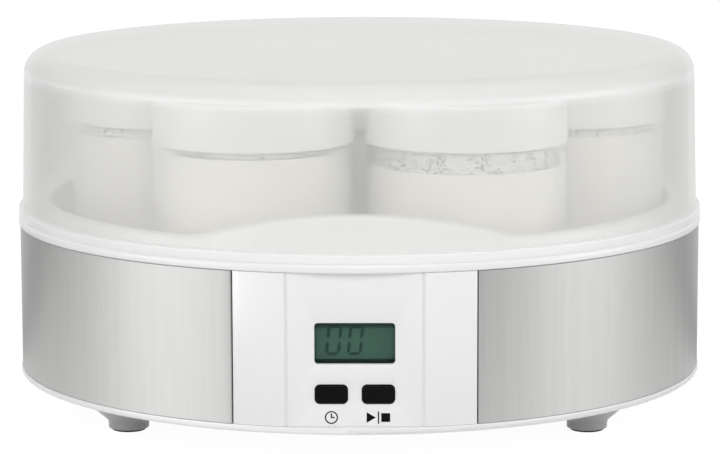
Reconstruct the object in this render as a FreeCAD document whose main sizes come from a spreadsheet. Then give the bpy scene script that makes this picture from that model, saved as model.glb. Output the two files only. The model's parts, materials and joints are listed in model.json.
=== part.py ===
import FreeCAD
import Part
import Sketcher
import math
import operator
import os
from types import SimpleNamespace

# Electric yogurt maker with seven jars: a round base with a well, a steel band and a front panel,
# a translucent lid, and jars that stand on a heated floor. Millimetres and degrees.
# The front faces -Y, +Z is up, and the origin is on the table under the middle of the base.

DRIVING_SIZES = {
    # jars, caps and filling
    "jar_cap_radius": 35.2,
    "jar_cap_height": 15.1,
    "jar_cap_skirt": 1.3,
    "jar_cap_top": 1.6,
    "jar_cap_draft": 0.3,
    "jar_cap_round": 1.2,
    "jar_cap_clearance": 0.35,
    "jar_cap_plug_depth": 3.0,
    "jar_cap_plug_wall": 1.0,
    "jar_cap_plug_clearance": 0.5,
    "jar_body_inset": 0.4,
    "jar_glass": 2.8,
    "jar_base": 4.2,
    "jar_heel": 4.0,
    "jar_height": 77.6,
    "jar_shoulder": 2.0,
    "jar_bead": 0.45,
    "jar_bead_drop": 5.0,
    "fill_height": 60.4,
    "fill_gap": 0.1,
    # how the jars stand in the well
    "jar_gap": 3.0,
    "middle_row_shift": 3.0,
    "front_left_shift": 0.7,
    "front_right_shift": 1.4,
    # well, collar, crest and rim
    "well_clearance": 3.4,
    "well_draft": 1.6,
    "well_depth": 36.1,
    "well_corner": 3.0,
    "floor_thickness": 2.0,
    "tub_wall": 2.2,
    "collar_width": 6.0,
    "collar_height": 6.2,
    "collar_round": 1.5,
    "crest_height": 9.2,
    "crest_arc": 158.0,
    "crest_end_arc": 30.0,
    "crest_depth": 6.6,
    "crest_back_rise": 1.6,
    "rim_height": 3.0,
    "rim_margin": 0.1,
    "rim_overhang": 0.5,
    "rim_round": 1.2,
    "spigot_height": 4.0,
    "fit_gap": 0.3,
    # lid
    "lid_clearance": 1.2,
    "lid_wall": 2.6,
    "lid_draft": 1.4,
    "lid_headroom": 8.0,
    "lid_crown": 1.6,
    "lid_shoulder": 8.0,
    "flange_reach": 1.5,
    "flange_height": 3.5,
    "flange_round": 0.9,
    # base
    "under_floor_space": 23.5,
    "cover_thickness": 2.3,
    "cover_overhang": 0.3,
    "cover_round": 0.8,
    "steel_thickness": 0.5,
    "hem_depth": 3.5,
    "seam_gap": 0.45,
    "skin_gap": 0.1,
    "shell_wall": 2.2,
    "vent_length": 20.0,
    "vent_width": 3.0,
    "vent_inner_radius": 62.0,
    "vent_count": 12,
    # feet and the screws through them
    "foot_height": 12.2,
    "foot_inset": 24.2,
    "foot_angle": 36.5,
    "foot_radius": 7.15,
    "foot_stem": 3.5,
    "foot_flare_radius": 17.0,
    "pad_radius": 6.0,
    "pad_proud": 0.8,
    "pad_depth": 1.0,
    "pillar_radius": 4.5,
    "screw_radius": 1.4,
    "screw_reach": 14.0,
    "screw_head_radius": 3.2,
    "screw_head_height": 2.2,
    "screw_hole_clearance": 0.05,
    "screw_pass_clearance": 0.4,
    "foot_floor": 5.6,
    # front panel
    "panel_half_angle": 19.2,
    "panel_wall": 2.2,
    "facet_half_width": 23.0,
    "facet_groove_width": 1.0,
    "facet_groove_depth": 0.4,
    "lcd_width": 27.0,
    "lcd_height": 14.0,
    "lcd_corner": 1.2,
    "lcd_rise": 28.3,
    "button_width": 10.8,
    "button_height": 6.3,
    "button_corner": 1.6,
    "button_spacing": 15.75,
    "button_rise": 11.1,
    "button_proud": 0.8,
    "button_round": 0.6,
    "button_clearance": 0.2,
    "button_flange": 0.9,
    "button_flange_thickness": 1.0,
    "button_travel": 1.0,
    # display and control board behind the panel
    "window_margin": 1.5,
    "window_thickness": 1.0,
    "lcd_glass_margin": 2.0,
    "lcd_glass_thickness": 2.4,
    "holder_wall": 1.4,
    "zebra_width": 1.8,
    "board_standoff": 6.0,
    "board_thickness": 1.6,
    "board_bottom_margin": 2.4,
    "board_top_margin": 5.2,
    "board_edge": 3.2,
    "post_radius": 2.4,
    "post_hole_radius": 0.9,
    "small_screw_radius": 0.85,
    "small_screw_head_radius": 1.9,
    "small_screw_head_height": 1.3,
    "small_screw_reach": 4.0,
    "switch_side": 6.0,
    "switch_depth": 3.4,
    "plunger_radius": 1.6,
    "plunger_overlap": 1.0,
    "plunger_clearance": 0.3,
    # warmer under the floor
    "plate_inset": 20.0,
    "plate_thickness": 1.2,
    "heating_cord_inset": 22.0,
    "heating_cord_radius": 1.6,
    "heating_cord_open_angle": 20.0,
    "clip_width": 6.0,
    "clip_lip": 3.0,
    "clip_metal": 0.8,
    "clip_count": 6,
    "sensor_radius": 1.5,
    "sensor_length": 9.0,
    "fuse_radius": 2.0,
    "fuse_length": 13.0,
    "sensor_offset": 24.0,
    # power board
    "power_board_length": 70.0,
    "power_board_width": 50.0,
    "power_board_offset": 30.0,
    "power_board_standoff": 5.0,
    "power_post_inset": 4.0,
    "relay_length": 19.0,
    "relay_width": 15.5,
    "relay_height": 10.0,
    "capacitor_radius": 5.0,
    "capacitor_length": 12.0,
    "terminal_length": 20.0,
    "terminal_width": 9.0,
    "terminal_height": 9.0,
    "lead_radius": 1.1,
    "ribbon_width": 14.0,
    "ribbon_thickness": 0.9,
    # inlet for the mains lead
    "gland_rise": 12.6,
    "gland_bore_radius": 3.5,
    "gland_wall": 1.9,
    "gland_flange": 2.2,
    "gland_flange_thickness": 3.0,
    "gland_nose": 6.0,
    "gland_proud": 0.3,
    "gland_clearance": 0.2,
}

START, END, CENTRE = 1, 2, 3
TINY = 1e-9
CLOSE = 1e-4
FULL_TURN = 360
QUARTER_TURN = 90
JAR_STEP = 60
DEGREES_PER_RADIAN = 57.29578

OPERATIONS = {
    "+": operator.add,
    "-": operator.sub,
    "*": operator.mul,
    "/": operator.truediv,
}


class Size:
    """A length or angle held as a number and as the sheet formula that gives the same number."""

    def __init__(self, value, formula):
        self.value = value
        self.formula = formula

    def __add__(self, other):
        return combine(self, "+", other)

    def __radd__(self, other):
        return combine(other, "+", self)

    def __sub__(self, other):
        return combine(self, "-", other)

    def __rsub__(self, other):
        return combine(other, "-", self)

    def __mul__(self, other):
        return combine(self, "*", other)

    def __rmul__(self, other):
        return combine(other, "*", self)

    def __truediv__(self, other):
        return combine(self, "/", other)

    def __neg__(self):
        return combine(0, "-", self)


def as_size(number):
    if isinstance(number, Size):
        return number
    return Size(float(number), repr(float(number)))


def combine(left, sign, right):
    left = as_size(left)
    right = as_size(right)
    value = OPERATIONS[sign](left.value, right.value)
    return Size(value, f"({left.formula} {sign} {right.formula})")


def root(size):
    return Size(math.sqrt(size.value), f"sqrt({size.formula})")


def sine(angle):
    angle = as_size(angle)
    return Size(math.sin(math.radians(angle.value)), f"sin({angle.formula})")


def cosine(angle):
    angle = as_size(angle)
    return Size(math.cos(math.radians(angle.value)), f"cos({angle.formula})")


doc = FreeCAD.newDocument("yogurt_maker")
sheet = doc.addObject("Spreadsheet::Sheet", "Sizes")
for row, (alias, value) in enumerate(DRIVING_SIZES.items(), start=1):
    sheet.set(f"A{row}", alias)
    sheet.set(f"B{row}", str(value))
    sheet.setAlias(f"B{row}", alias)
doc.recompute()
dim = SimpleNamespace(**{
    alias: Size(float(value), f"Sizes.{alias}") for alias, value in DRIVING_SIZES.items()
})
sub_parts = []


def keep(piece, label):
    """Name a finished piece and put it on the list of sub-parts."""
    piece.Label = label
    sub_parts.append(piece)
    return piece


def bind(thing, path, size):
    thing.setExpression(path, as_size(size).formula)


def place(thing, x, y, z, axis=None, angle=0):
    """Put a piece at sizes from the sheet, turned by a fixed angle about an axis."""
    turn = FreeCAD.Rotation(FreeCAD.Vector(*(axis or (0, 0, 1))), angle)
    thing.Placement = FreeCAD.Placement(FreeCAD.Vector(), turn)
    for direction, size in zip("xyz", (x, y, z)):
        bind(thing, f"Placement.Base.{direction}", size)


# Sketches: outlines whose corners are held at sizes from the sheet

def name_constraint(sketch, index, size):
    label = f"held{index}"
    sketch.renameConstraint(index, label)
    bind(sketch, f"Constraints.{label}", size)


def hold(sketch, edge, position, direction, size):
    """Hold one coordinate of a sketch point at a size."""
    if abs(size.value) < TINY:
        axis = {"X": -2, "Y": -1}[direction]
        sketch.addConstraint(Sketcher.Constraint("PointOnObject", edge, position, axis))
        return
    rule = Sketcher.Constraint("Distance" + direction, -1, 1, edge, position, size.value)
    name_constraint(sketch, sketch.addConstraint(rule), size)


def draw_edge(sketch, here, there):
    """Add the line or arc from one corner to the next, and tell which of its ends comes first."""
    start = FreeCAD.Vector(here[0].value, here[1].value, 0)
    end = FreeCAD.Vector(there[0].value, there[1].value, 0)
    if len(here) == 2:
        sketch.addGeometry(Part.LineSegment(start, end))
        return START, END
    middle = here[2].value
    reach = (end.x - middle) ** 2 - (start.x - middle) ** 2
    lift = (reach + end.y ** 2 - start.y ** 2) / (2 * (end.y - start.y))
    centre = FreeCAD.Vector(middle, lift, 0)
    start_angle = math.atan2(start.y - lift, start.x - middle)
    end_angle = math.atan2(end.y - lift, end.x - middle)
    circle = Part.Circle(centre, FreeCAD.Vector(0, 0, 1), start.distanceToPoint(centre))
    if (end_angle - start_angle) % math.tau < math.pi:
        sketch.addGeometry(Part.ArcOfCircle(circle, start_angle, end_angle))
        return START, END
    sketch.addGeometry(Part.ArcOfCircle(circle, end_angle, start_angle))
    return END, START


def draw_outline(sketch, corners):
    """Draw a closed outline; a corner with a third number starts an arc with its centre at that x."""
    corners = [tuple(as_size(number) for number in corner) for corner in corners]
    first = sketch.GeometryCount
    ends = []
    for here, there in zip(corners, corners[1:] + corners[:1]):
        ends.append(draw_edge(sketch, here, there))
    for step, (_, last) in enumerate(ends):
        after = (step + 1) % len(ends)
        joint = Sketcher.Constraint("Coincident", first + step, last, first + after, ends[after][0])
        sketch.addConstraint(joint)
    for step, corner in enumerate(corners):
        hold(sketch, first + step, ends[step][0], "X", corner[0])
        hold(sketch, first + step, ends[step][0], "Y", corner[1])
        if len(corner) == 3:
            hold(sketch, first + step, CENTRE, "X", corner[2])


def draw_circle(sketch, x, y, radius):
    x, y, radius = as_size(x), as_size(y), as_size(radius)
    centre = FreeCAD.Vector(x.value, y.value, 0)
    edge = sketch.addGeometry(Part.Circle(centre, FreeCAD.Vector(0, 0, 1), radius.value))
    hold(sketch, edge, CENTRE, "X", x)
    hold(sketch, edge, CENTRE, "Y", y)
    rule = Sketcher.Constraint("Radius", edge, radius.value)
    name_constraint(sketch, sketch.addConstraint(rule), radius)


def box_outline(left, right, low, high):
    return [(left, low), (right, low), (right, high), (left, high)]


def rounded_outline(x, y, width, height, corner):
    """Rectangle about a middle point, with round corners."""
    left, right = x - width / 2, x + width / 2
    low, high = y - height / 2, y + height / 2
    return [
        (left + corner, low), (right - corner, low, right - corner),
        (right, low + corner), (right, high - corner, right - corner),
        (right - corner, high), (left + corner, high, left + corner),
        (left, high - corner), (left, low + corner, left + corner),
    ]


# Bodies and their features

def new_body(name):
    return doc.addObject("PartDesign::Body", name)


def new_sketch(body, plane, offset, shapes):
    """Sketch on one of the body's own planes; a list is an outline, a tuple a circle."""
    sketch = body.newObject("Sketcher::SketchObject", f"{body.Name}_sketch")
    origin_plane = [part for part in body.Origin.OriginFeatures if part.Role == plane][0]
    sketch.AttachmentSupport = [(origin_plane, "")]
    sketch.MapMode = "FlatFace"
    bind(sketch, "AttachmentOffset.Base.z", offset)
    for shape in shapes:
        if isinstance(shape, list):
            draw_outline(sketch, shape)
        else:
            draw_circle(sketch, *shape)
    return sketch


def turned(body, kind, outline, plane="XZ_Plane", angle=None):
    """Turn an outline about the upright axis, all round or by an angle shared by both sides of its plane."""
    feature = body.newObject(f"PartDesign::{kind}", f"{body.Name}_{kind.lower()}")
    feature.Profile = new_sketch(body, plane, 0, [outline])
    feature.ReferenceAxis = (feature.Profile[0], ["V_Axis"])
    feature.Midplane = angle is not None
    bind(feature, "Angle", angle or FULL_TURN)
    return feature


def turned_body(name, outline):
    body = new_body(name)
    turned(body, "Revolution", outline)
    return body


def pad(body, plane, offset, length, *shapes):
    feature = body.newObject("PartDesign::Pad", f"{body.Name}_pad")
    feature.Profile = new_sketch(body, plane, offset, shapes)
    bind(feature, "Length", length)
    return feature


def pocket(body, plane, offset, *shapes, along_normal=False):
    """Cut right through the body on one side of the sketch plane."""
    doc.recompute()
    before = body.Shape.Volume
    feature = body.newObject("PartDesign::Pocket", f"{body.Name}_pocket")
    feature.Profile = new_sketch(body, plane, offset, shapes)
    feature.Type = "ThroughAll"
    feature.Reversed = along_normal
    doc.recompute()
    if body.Shape.Volume > before - TINY:
        raise ValueError(f"{feature.Name} cuts nothing")
    return feature


def round_edges(body, radius, chosen):
    doc.recompute()
    base = body.Tip
    edges = [f"Edge{number}" for number, edge in enumerate(base.Shape.Edges, start=1) if chosen(edge)]
    feature = body.newObject("PartDesign::Fillet", f"{body.Name}_fillet")
    feature.Base = (base, edges)
    bind(feature, "Radius", radius)
    return feature


def ring_at(radius, height):
    """Choose the circle of a given radius about the upright axis, at a given height."""
    radius, height = as_size(radius).value, as_size(height).value

    def chosen(edge):
        if edge.Degenerated or not isinstance(edge.Curve, Part.Circle):
            return False
        centre = edge.Curve.Center
        return abs(edge.Curve.Radius - radius) < CLOSE and abs(centre.z - height) < CLOSE
    return chosen


# Simple solids and how they are joined

def block(name, x, y, z, length, width, height):
    """Box centred on x and y, standing on z."""
    box = doc.addObject("Part::Box", name)
    bind(box, "Length", length)
    bind(box, "Width", width)
    bind(box, "Height", height)
    place(box, x - as_size(length) / 2, y - as_size(width) / 2, z)
    return box


def rod(name, x, y, z, radius, length, axis=None, angle=0):
    cylinder = doc.addObject("Part::Cylinder", name)
    bind(cylinder, "Radius", radius)
    bind(cylinder, "Height", length)
    place(cylinder, x, y, z, axis, angle)
    return cylinder


def fuse(name, *pieces):
    result = doc.addObject("Part::MultiFuse", name)
    result.Shapes = list(pieces)
    return result


def cut(name, base, *tools):
    result = doc.addObject("Part::Cut", name)
    result.Base = base
    result.Tool = tools[0] if len(tools) == 1 else fuse(f"{name}_tools", *tools)
    return result


def group(name, pieces):
    result = doc.addObject("Part::Compound", name)
    result.Links = list(pieces)
    return result


FACING_REAR = ((1, 0, 0), -QUARTER_TURN)
FACING_FRONT = ((1, 0, 0), QUARTER_TURN)
FACING_RIGHT = ((0, 1, 0), QUARTER_TURN)
CORNERS = [(-1, -1), (1, -1), (-1, 1), (1, 1)]

# Heights, from the table up
cover_bottom = dim.foot_height
shell_bottom = cover_bottom + dim.cover_thickness
floor_under = shell_bottom + dim.under_floor_space
floor_top = floor_under + dim.floor_thickness
collar_top = floor_top + dim.well_depth
rim_top = collar_top - dim.collar_height
rim_bottom = rim_top - dim.rim_height
crest_top = collar_top + dim.crest_height
crest_reach = dim.crest_arc + dim.crest_end_arc
crest_foot = root(2 * crest_reach * dim.crest_height - dim.crest_height * dim.crest_height)
cap_top = floor_top + dim.jar_height + dim.jar_cap_top
lid_edge = cap_top + dim.lid_headroom + dim.lid_wall
panel_bottom = shell_bottom + dim.skin_gap
panel_top = rim_bottom - dim.skin_gap

# Radii, from the jars out
jar_ring = 2 * dim.jar_cap_radius + dim.jar_gap
well_radius = jar_ring + dim.jar_cap_radius + dim.well_clearance
well_mouth = well_radius + dim.well_draft
collar_radius = well_mouth + dim.collar_width
lid_bore = collar_radius + dim.lid_clearance
lid_radius = lid_bore + dim.lid_wall
flange_radius = lid_radius + dim.flange_reach
rim_radius = flange_radius + dim.rim_margin
steel_radius = rim_radius - dim.rim_overhang
shell_radius = steel_radius - dim.steel_thickness - dim.skin_gap
shell_bore = shell_radius - dim.shell_wall
spigot_radius = shell_bore - dim.fit_gap
spigot_bore = spigot_radius - dim.tub_wall
cover_radius = steel_radius + dim.cover_overhang

# The front of the well is flat, to leave room for the display between it and the panel
flat_face = jar_ring * cosine(JAR_STEP / 2) + dim.jar_cap_radius + dim.well_clearance
flat_back = flat_face + dim.tub_wall
facet_face = root(steel_radius * steel_radius - dim.facet_half_width * dim.facet_half_width)
facet_back = facet_face - dim.panel_wall
front_half_width = steel_radius * sine(dim.panel_half_angle) + dim.tub_wall

# Places of the feet and of the four screws through them
foot_ring = rim_radius - dim.foot_inset
foot_x = foot_ring * cosine(dim.foot_angle)
foot_y = foot_ring * sine(dim.foot_angle)
foot_places = {
    "front_left": (-foot_x, -foot_y),
    "front_right": (foot_x, -foot_y),
    "rear_left": (-foot_x, foot_y),
    "rear_right": (foot_x, foot_y),
}
pillar_hole = dim.screw_radius + dim.screw_hole_clearance
screw_pass = dim.screw_radius + dim.screw_pass_clearance

# Front panel, buttons and display; their heights are measured up from the panel's lower edge
lcd_height_up = panel_bottom + dim.lcd_rise
button_height_up = panel_bottom + dim.button_rise
button_places = {"time": -dim.button_spacing / 2, "start": dim.button_spacing / 2}
board_face = facet_back - dim.board_standoff
board_back = board_face - dim.board_thickness
board_low = panel_bottom + dim.board_bottom_margin
board_high = panel_top - dim.board_top_margin
lcd_glass_width = dim.lcd_width + 2 * dim.lcd_glass_margin
lcd_glass_height = dim.lcd_height + 2 * dim.lcd_glass_margin
lcd_front = facet_back - dim.window_thickness - dim.skin_gap
lcd_back = lcd_front - dim.lcd_glass_thickness
holder_half_width = lcd_glass_width / 2 + dim.skin_gap + dim.holder_wall
post_x = holder_half_width + dim.post_radius + dim.skin_gap
board_posts = [
    (post_x * side, height)
    for side in (-1, 1)
    for height in (board_low + dim.board_edge, board_high - dim.board_edge)
]
board_half_width = post_x + dim.board_edge
gland_height = shell_bottom + dim.gland_rise
gland_radius = dim.gland_bore_radius + dim.gland_wall
gland_hole_radius = gland_radius + dim.gland_clearance

# Warmer under the floor and the power board on the cover
plate_radius = well_radius - dim.plate_inset
plate_bottom = floor_under - dim.plate_thickness
heating_ring = plate_radius - dim.heating_cord_inset
heating_level = plate_bottom - dim.heating_cord_radius
power_face = shell_bottom + dim.power_board_standoff
power_top = power_face + dim.board_thickness
power_posts = [
    (side_x * (dim.power_board_length / 2 - dim.power_post_inset),
     dim.power_board_offset + side_y * (dim.power_board_width / 2 - dim.power_post_inset))
    for side_x, side_y in CORNERS
]
terminal_y = dim.power_board_offset + (dim.power_board_width - dim.terminal_width) / 2 - dim.small_screw_reach


def arc_over_front(chord, radius):
    """Outline of the part of a circle that lies in front of a straight chord."""
    half = root(radius * radius - chord * chord)
    return [(-half, -chord), (half, -chord, 0), (0, -radius, 0)]


def air_over_crest(lowered):
    """Outline of what lies above the crest: a long arc that runs out to the collar through hollow arcs."""
    level = collar_top - lowered
    top = crest_top - lowered
    share = dim.crest_arc / crest_reach
    blend_x = crest_foot * share
    blend_z = top - dim.crest_arc + (crest_reach - dim.crest_height) * share
    sky = crest_top + 2 * dim.tub_wall
    return [
        (-rim_radius, level), (-crest_foot, level, -crest_foot), (-blend_x, blend_z, 0), (0, top, 0),
        (blend_x, blend_z, crest_foot), (crest_foot, level), (rim_radius, level),
        (rim_radius, sky), (-rim_radius, sky),
    ]


def air_behind_crest(lowered):
    """Outline, seen from the side, of what lies above the slope from the crest back to the flat face."""
    ridge = collar_radius - dim.crest_depth
    sky = crest_top + 2 * dim.tub_wall
    foot = collar_top + dim.crest_back_rise - lowered
    behind = dim.tub_wall - flat_face
    return [(-ridge, crest_top - lowered), (-flat_face, foot), (behind, foot), (behind, sky), (-ridge, sky)]


def front_hump(name, chord, radius, low, lowered):
    """Solid between a straight chord and an arc at the front, with the crest and the slope behind it for its top."""
    body = new_body(name)
    pad(body, "XY_Plane", low, crest_top - low + dim.tub_wall, arc_over_front(chord, radius))
    pocket(body, "XZ_Plane", 0, air_over_crest(lowered), along_normal=True)
    pocket(body, "YZ_Plane", -rim_radius, air_behind_crest(lowered), along_normal=True)
    return body


def on_hump_walls(edge):
    """Choose the edges where the hump's upright walls meet its top."""
    if edge.Degenerated or edge.BoundBox.ZMin < collar_top.value - CLOSE:
        return False
    middle = edge.valueAt((edge.FirstParameter + edge.LastParameter) / 2)
    on_flat = abs(middle.y + flat_face.value) < CLOSE
    return on_flat or abs(math.hypot(middle.x, middle.y) - collar_radius.value) < CLOSE


def make_tub():
    """Rim, collar, front crest and well in one moulding, with four pillars for the housing screws."""
    wall = dim.tub_wall
    shell_seat = rim_top - wall
    body = turned_body("tub_turned", [
        (0, floor_top), (well_radius, floor_top), (well_mouth, collar_top), (collar_radius, collar_top),
        (collar_radius, rim_top), (rim_radius, rim_top), (rim_radius, rim_bottom),
        (spigot_radius, rim_bottom), (spigot_radius, rim_bottom - dim.spigot_height),
        (spigot_bore, rim_bottom - dim.spigot_height), (spigot_bore, shell_seat),
        (collar_radius - wall, shell_seat), (collar_radius - wall, collar_top - wall),
        (well_mouth + wall, collar_top - wall), (well_radius + wall, floor_under), (0, floor_under),
    ])
    round_edges(body, dim.rim_round, ring_at(rim_radius, rim_top))
    round_edges(body, dim.rim_round / 2, ring_at(rim_radius, rim_bottom))
    round_edges(body, dim.well_corner, ring_at(well_radius, floor_top))
    round_edges(body, dim.collar_round, ring_at(collar_radius, collar_top))
    hump = front_hump("tub_hump", flat_face, collar_radius, shell_seat, as_size(0))
    round_edges(hump, dim.collar_round, on_hump_walls)
    hump_ends = [
        block(
            "tub_hump_end", side * (crest_foot + rim_radius) / 2, -rim_radius / 2, collar_top - dim.collar_round,
            rim_radius - crest_foot, rim_radius, dim.crest_height,
        )
        for side in (-1, 1)
    ]
    half = root(collar_radius * collar_radius - flat_back * flat_back)
    flat_wall = block(
        "tub_flat_wall", 0, -(flat_face + wall / 2), floor_under,
        2 * half - 2 * dim.collar_width, wall, collar_top - floor_under,
    )
    hollow = front_hump(
        "tub_hollow", flat_back, collar_radius - wall, cover_bottom, wall,
    )
    spigot_gap = block(
        "tub_spigot_gap", 0, -(flat_back + rim_radius) / 2, shell_bottom,
        2 * front_half_width, rim_radius - flat_back, rim_bottom - shell_bottom,
    )
    pillars = []
    holes = []
    for x, y in foot_places.values():
        length = floor_under - shell_bottom
        pillars.append(rod("tub_pillar", x, y, shell_bottom, dim.pillar_radius, length))
        holes.append(rod("tub_pillar_hole", x, y, shell_bottom, pillar_hole, length))
    solid = fuse("tub_solid", body, cut("tub_hump_trimmed", hump, *hump_ends))
    opened = cut("tub_opened", solid, hollow, spigot_gap)
    keep(cut("tub", fuse("tub_with_pillars", opened, flat_wall, *pillars), *holes), "tub")


def make_body_shell():
    """Plastic wall behind the steel, open at the front for the panel and pierced for the gland."""
    body = new_body("body_shell")
    setback = dim.seam_gap + dim.steel_thickness + dim.skin_gap
    open_half = dim.panel_half_angle + setback / shell_bore * DEGREES_PER_RADIAN
    outline = box_outline(shell_bore, shell_radius, shell_bottom, rim_bottom)
    turned(body, "Revolution", outline, "YZ_Plane", FULL_TURN - 2 * open_half)
    pocket(body, "XZ_Plane", 0, (0, gland_height, gland_hole_radius))
    keep(body, "body_shell")


def make_steel_wrap():
    """Thin band with its two ends folded inwards beside the panel."""
    body = new_body("steel_wrap")
    low = shell_bottom + dim.skin_gap
    high = rim_bottom - dim.skin_gap
    open_half = dim.panel_half_angle + dim.seam_gap / steel_radius * DEGREES_PER_RADIAN
    hem_angle = dim.steel_thickness / steel_radius * DEGREES_PER_RADIAN
    sheet_angle = FULL_TURN - 2 * open_half
    outline = box_outline(steel_radius - dim.hem_depth, steel_radius, low, high)
    turned(body, "Revolution", outline, "YZ_Plane", sheet_angle)
    spare = dim.hem_depth
    inside = box_outline(
        steel_radius - dim.hem_depth - spare, steel_radius - dim.steel_thickness, low - spare, high + spare,
    )
    turned(body, "Groove", inside, "YZ_Plane", sheet_angle - 2 * hem_angle)
    pocket(body, "XZ_Plane", 0, (0, gland_height, gland_hole_radius))
    keep(body, "steel_wrap")


def make_bottom_cover():
    """Disc under the base: a ring inside the shell, posts for the power board, vents and screw holes."""
    body = turned_body("bottom_cover", [
        (0, cover_bottom), (cover_radius, cover_bottom), (cover_radius, shell_bottom),
        (spigot_radius, shell_bottom), (spigot_radius, shell_bottom + dim.spigot_height),
        (spigot_bore, shell_bottom + dim.spigot_height), (spigot_bore, shell_bottom), (0, shell_bottom),
    ])
    round_edges(body, dim.cover_round, ring_at(cover_radius, cover_bottom))
    front_gap = box_outline(-front_half_width, front_half_width, -rim_radius, -flat_back)
    pocket(body, "XY_Plane", shell_bottom, front_gap, along_normal=True)
    pad(body, "XY_Plane", shell_bottom, dim.power_board_standoff,
        *[(x, y, dim.post_radius) for x, y in power_posts])
    pocket(body, "XY_Plane", shell_bottom, *[(x, y, dim.post_hole_radius) for x, y in power_posts],
           along_normal=True)
    pocket(body, "XY_Plane", shell_bottom, *[(x, y, screw_pass) for x, y in foot_places.values()])
    half = dim.vent_width / 2
    slot = box_outline(-half, half, -dim.vent_inner_radius - dim.vent_length, -dim.vent_inner_radius)
    vent = pocket(body, "XY_Plane", shell_bottom, slot)
    vents = body.newObject("PartDesign::PolarPattern", "bottom_cover_vents")
    vents.Originals = [vent]
    vents.Axis = (vent.Profile[0], ["N_Axis"])
    vents.Angle = FULL_TURN
    bind(vents, "Occurrences", dim.vent_count)
    body.Tip = vents
    keep(body, "bottom_cover")


def make_feet():
    """Four flared feet, each hollow for its screw and recessed for its pad."""
    pad_bore = dim.pad_radius + dim.skin_gap
    head_bore = dim.screw_head_radius + dim.screw_pass_clearance
    pad_seat = dim.pad_proud + dim.pad_depth
    pads = []
    screws = []
    for place_name, (x, y) in foot_places.items():
        foot = turned_body(f"foot_{place_name}", [
            (pad_bore, dim.pad_proud), (dim.foot_radius, dim.pad_proud), (dim.foot_radius, dim.foot_stem),
            (dim.foot_flare_radius, dim.foot_height), (screw_pass, dim.foot_height),
            (screw_pass, dim.foot_floor), (head_bore, dim.foot_floor), (head_bore, pad_seat),
            (pad_bore, pad_seat),
        ])
        place(foot, x, y, 0)
        keep(foot, f"foot_{place_name}")
        pads.append(rod("foot_pad", x, y, 0, dim.pad_radius, pad_seat))
        head = rod(
            "housing_screw_head", x, y, dim.foot_floor - dim.screw_head_height,
            dim.screw_head_radius, dim.screw_head_height,
        )
        shank_length = shell_bottom - dim.foot_floor + dim.screw_reach
        shank = rod("housing_screw_shank", x, y, dim.foot_floor, dim.screw_radius, shank_length)
        screws.append(fuse("housing_screw", head, shank))
    keep(group("foot_pads", pads), "foot_pads")
    keep(group("housing_screws", screws), "housing_screws")


def make_front_panel():
    """Curved panel with a flat facet, two grooves, a window, button openings and board posts."""
    body = new_body("front_panel_moulding")
    height = panel_top - panel_bottom
    curve = box_outline(-steel_radius, -(steel_radius - dim.panel_wall), panel_bottom, panel_top)
    turned(body, "Revolution", curve, "YZ_Plane", 2 * dim.panel_half_angle)
    half = dim.facet_half_width
    pad(body, "XY_Plane", panel_bottom, height, box_outline(-half, half, -facet_face, -facet_back))
    outside = -(rim_radius + dim.tub_wall)
    pocket(body, "XY_Plane", panel_bottom, box_outline(-half, half, outside, -facet_face), along_normal=True)
    groove_half = dim.facet_groove_width / 2
    groove_floor = -(facet_face - dim.facet_groove_depth)
    pocket(
        body, "XY_Plane", panel_bottom,
        box_outline(half - groove_half, half + groove_half, outside, groove_floor),
        box_outline(-half - groove_half, -half + groove_half, outside, groove_floor),
        along_normal=True,
    )
    pad(body, "XZ_Plane", board_face, dim.board_standoff + dim.skin_gap,
        *[(x, z, dim.post_radius) for x, z in board_posts])
    gap = dim.button_clearance
    openings = [rounded_outline(as_size(0), lcd_height_up, dim.lcd_width, dim.lcd_height, dim.lcd_corner)]
    for x in button_places.values():
        openings.append(rounded_outline(
            x, button_height_up, dim.button_width + 2 * gap, dim.button_height + 2 * gap,
            dim.button_corner + gap,
        ))
    pocket(body, "XZ_Plane", facet_back - dim.skin_gap, *openings, along_normal=True)
    pilots = []
    for x, z in board_posts:
        pilots.append(rod(
            "front_panel_pilot", x, -board_face, z, dim.post_hole_radius, dim.board_standoff, *FACING_FRONT,
        ))
    keep(cut("front_panel", body, *pilots), "front_panel")


def make_button(name, x):
    """Push button: a proud round-edged cap and a flange behind the panel, on its switch's plunger."""
    body = new_body(f"{name}_button")
    flange_front = facet_back - dim.skin_gap
    flange_back = flange_front - dim.button_flange_thickness
    front = facet_face + dim.button_proud
    pad(body, "XZ_Plane", flange_back, dim.button_flange_thickness, rounded_outline(
        x, button_height_up, dim.button_width + 2 * dim.button_flange,
        dim.button_height + 2 * dim.button_flange, dim.button_corner,
    ))
    pad(body, "XZ_Plane", flange_front, front - flange_front, rounded_outline(
        x, button_height_up, dim.button_width, dim.button_height, dim.button_corner,
    ))
    round_edges(body, dim.button_round, lambda edge: edge.BoundBox.YMax < -front.value + CLOSE)
    keep(body, f"{name}_button")

    side = dim.switch_side
    switch_front = board_face + dim.switch_depth
    plunger_end = switch_front - dim.plunger_overlap
    case = block(
        f"{name}_switch_case", x, -(board_face + dim.switch_depth / 2), button_height_up - side / 2,
        side, dim.switch_depth, side,
    )
    bore = rod(
        f"{name}_switch_bore", x, -(plunger_end - dim.button_travel - dim.plunger_clearance),
        button_height_up, dim.plunger_radius + dim.plunger_clearance, dim.switch_depth, *FACING_FRONT,
    )
    keep(cut(f"{name}_switch", case, bore), f"{name}_switch")
    plunger = rod(
        f"{name}_plunger", x, -plunger_end, button_height_up, dim.plunger_radius,
        flange_back - plunger_end, *FACING_FRONT,
    )
    keep(plunger, f"{name}_plunger")


def upright_plate(name, z, width, height, front, thickness):
    """Plate that faces the front, with its middle at height z."""
    return block(name, 0, -(front - thickness / 2), z - height / 2, width, thickness, height)


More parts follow.
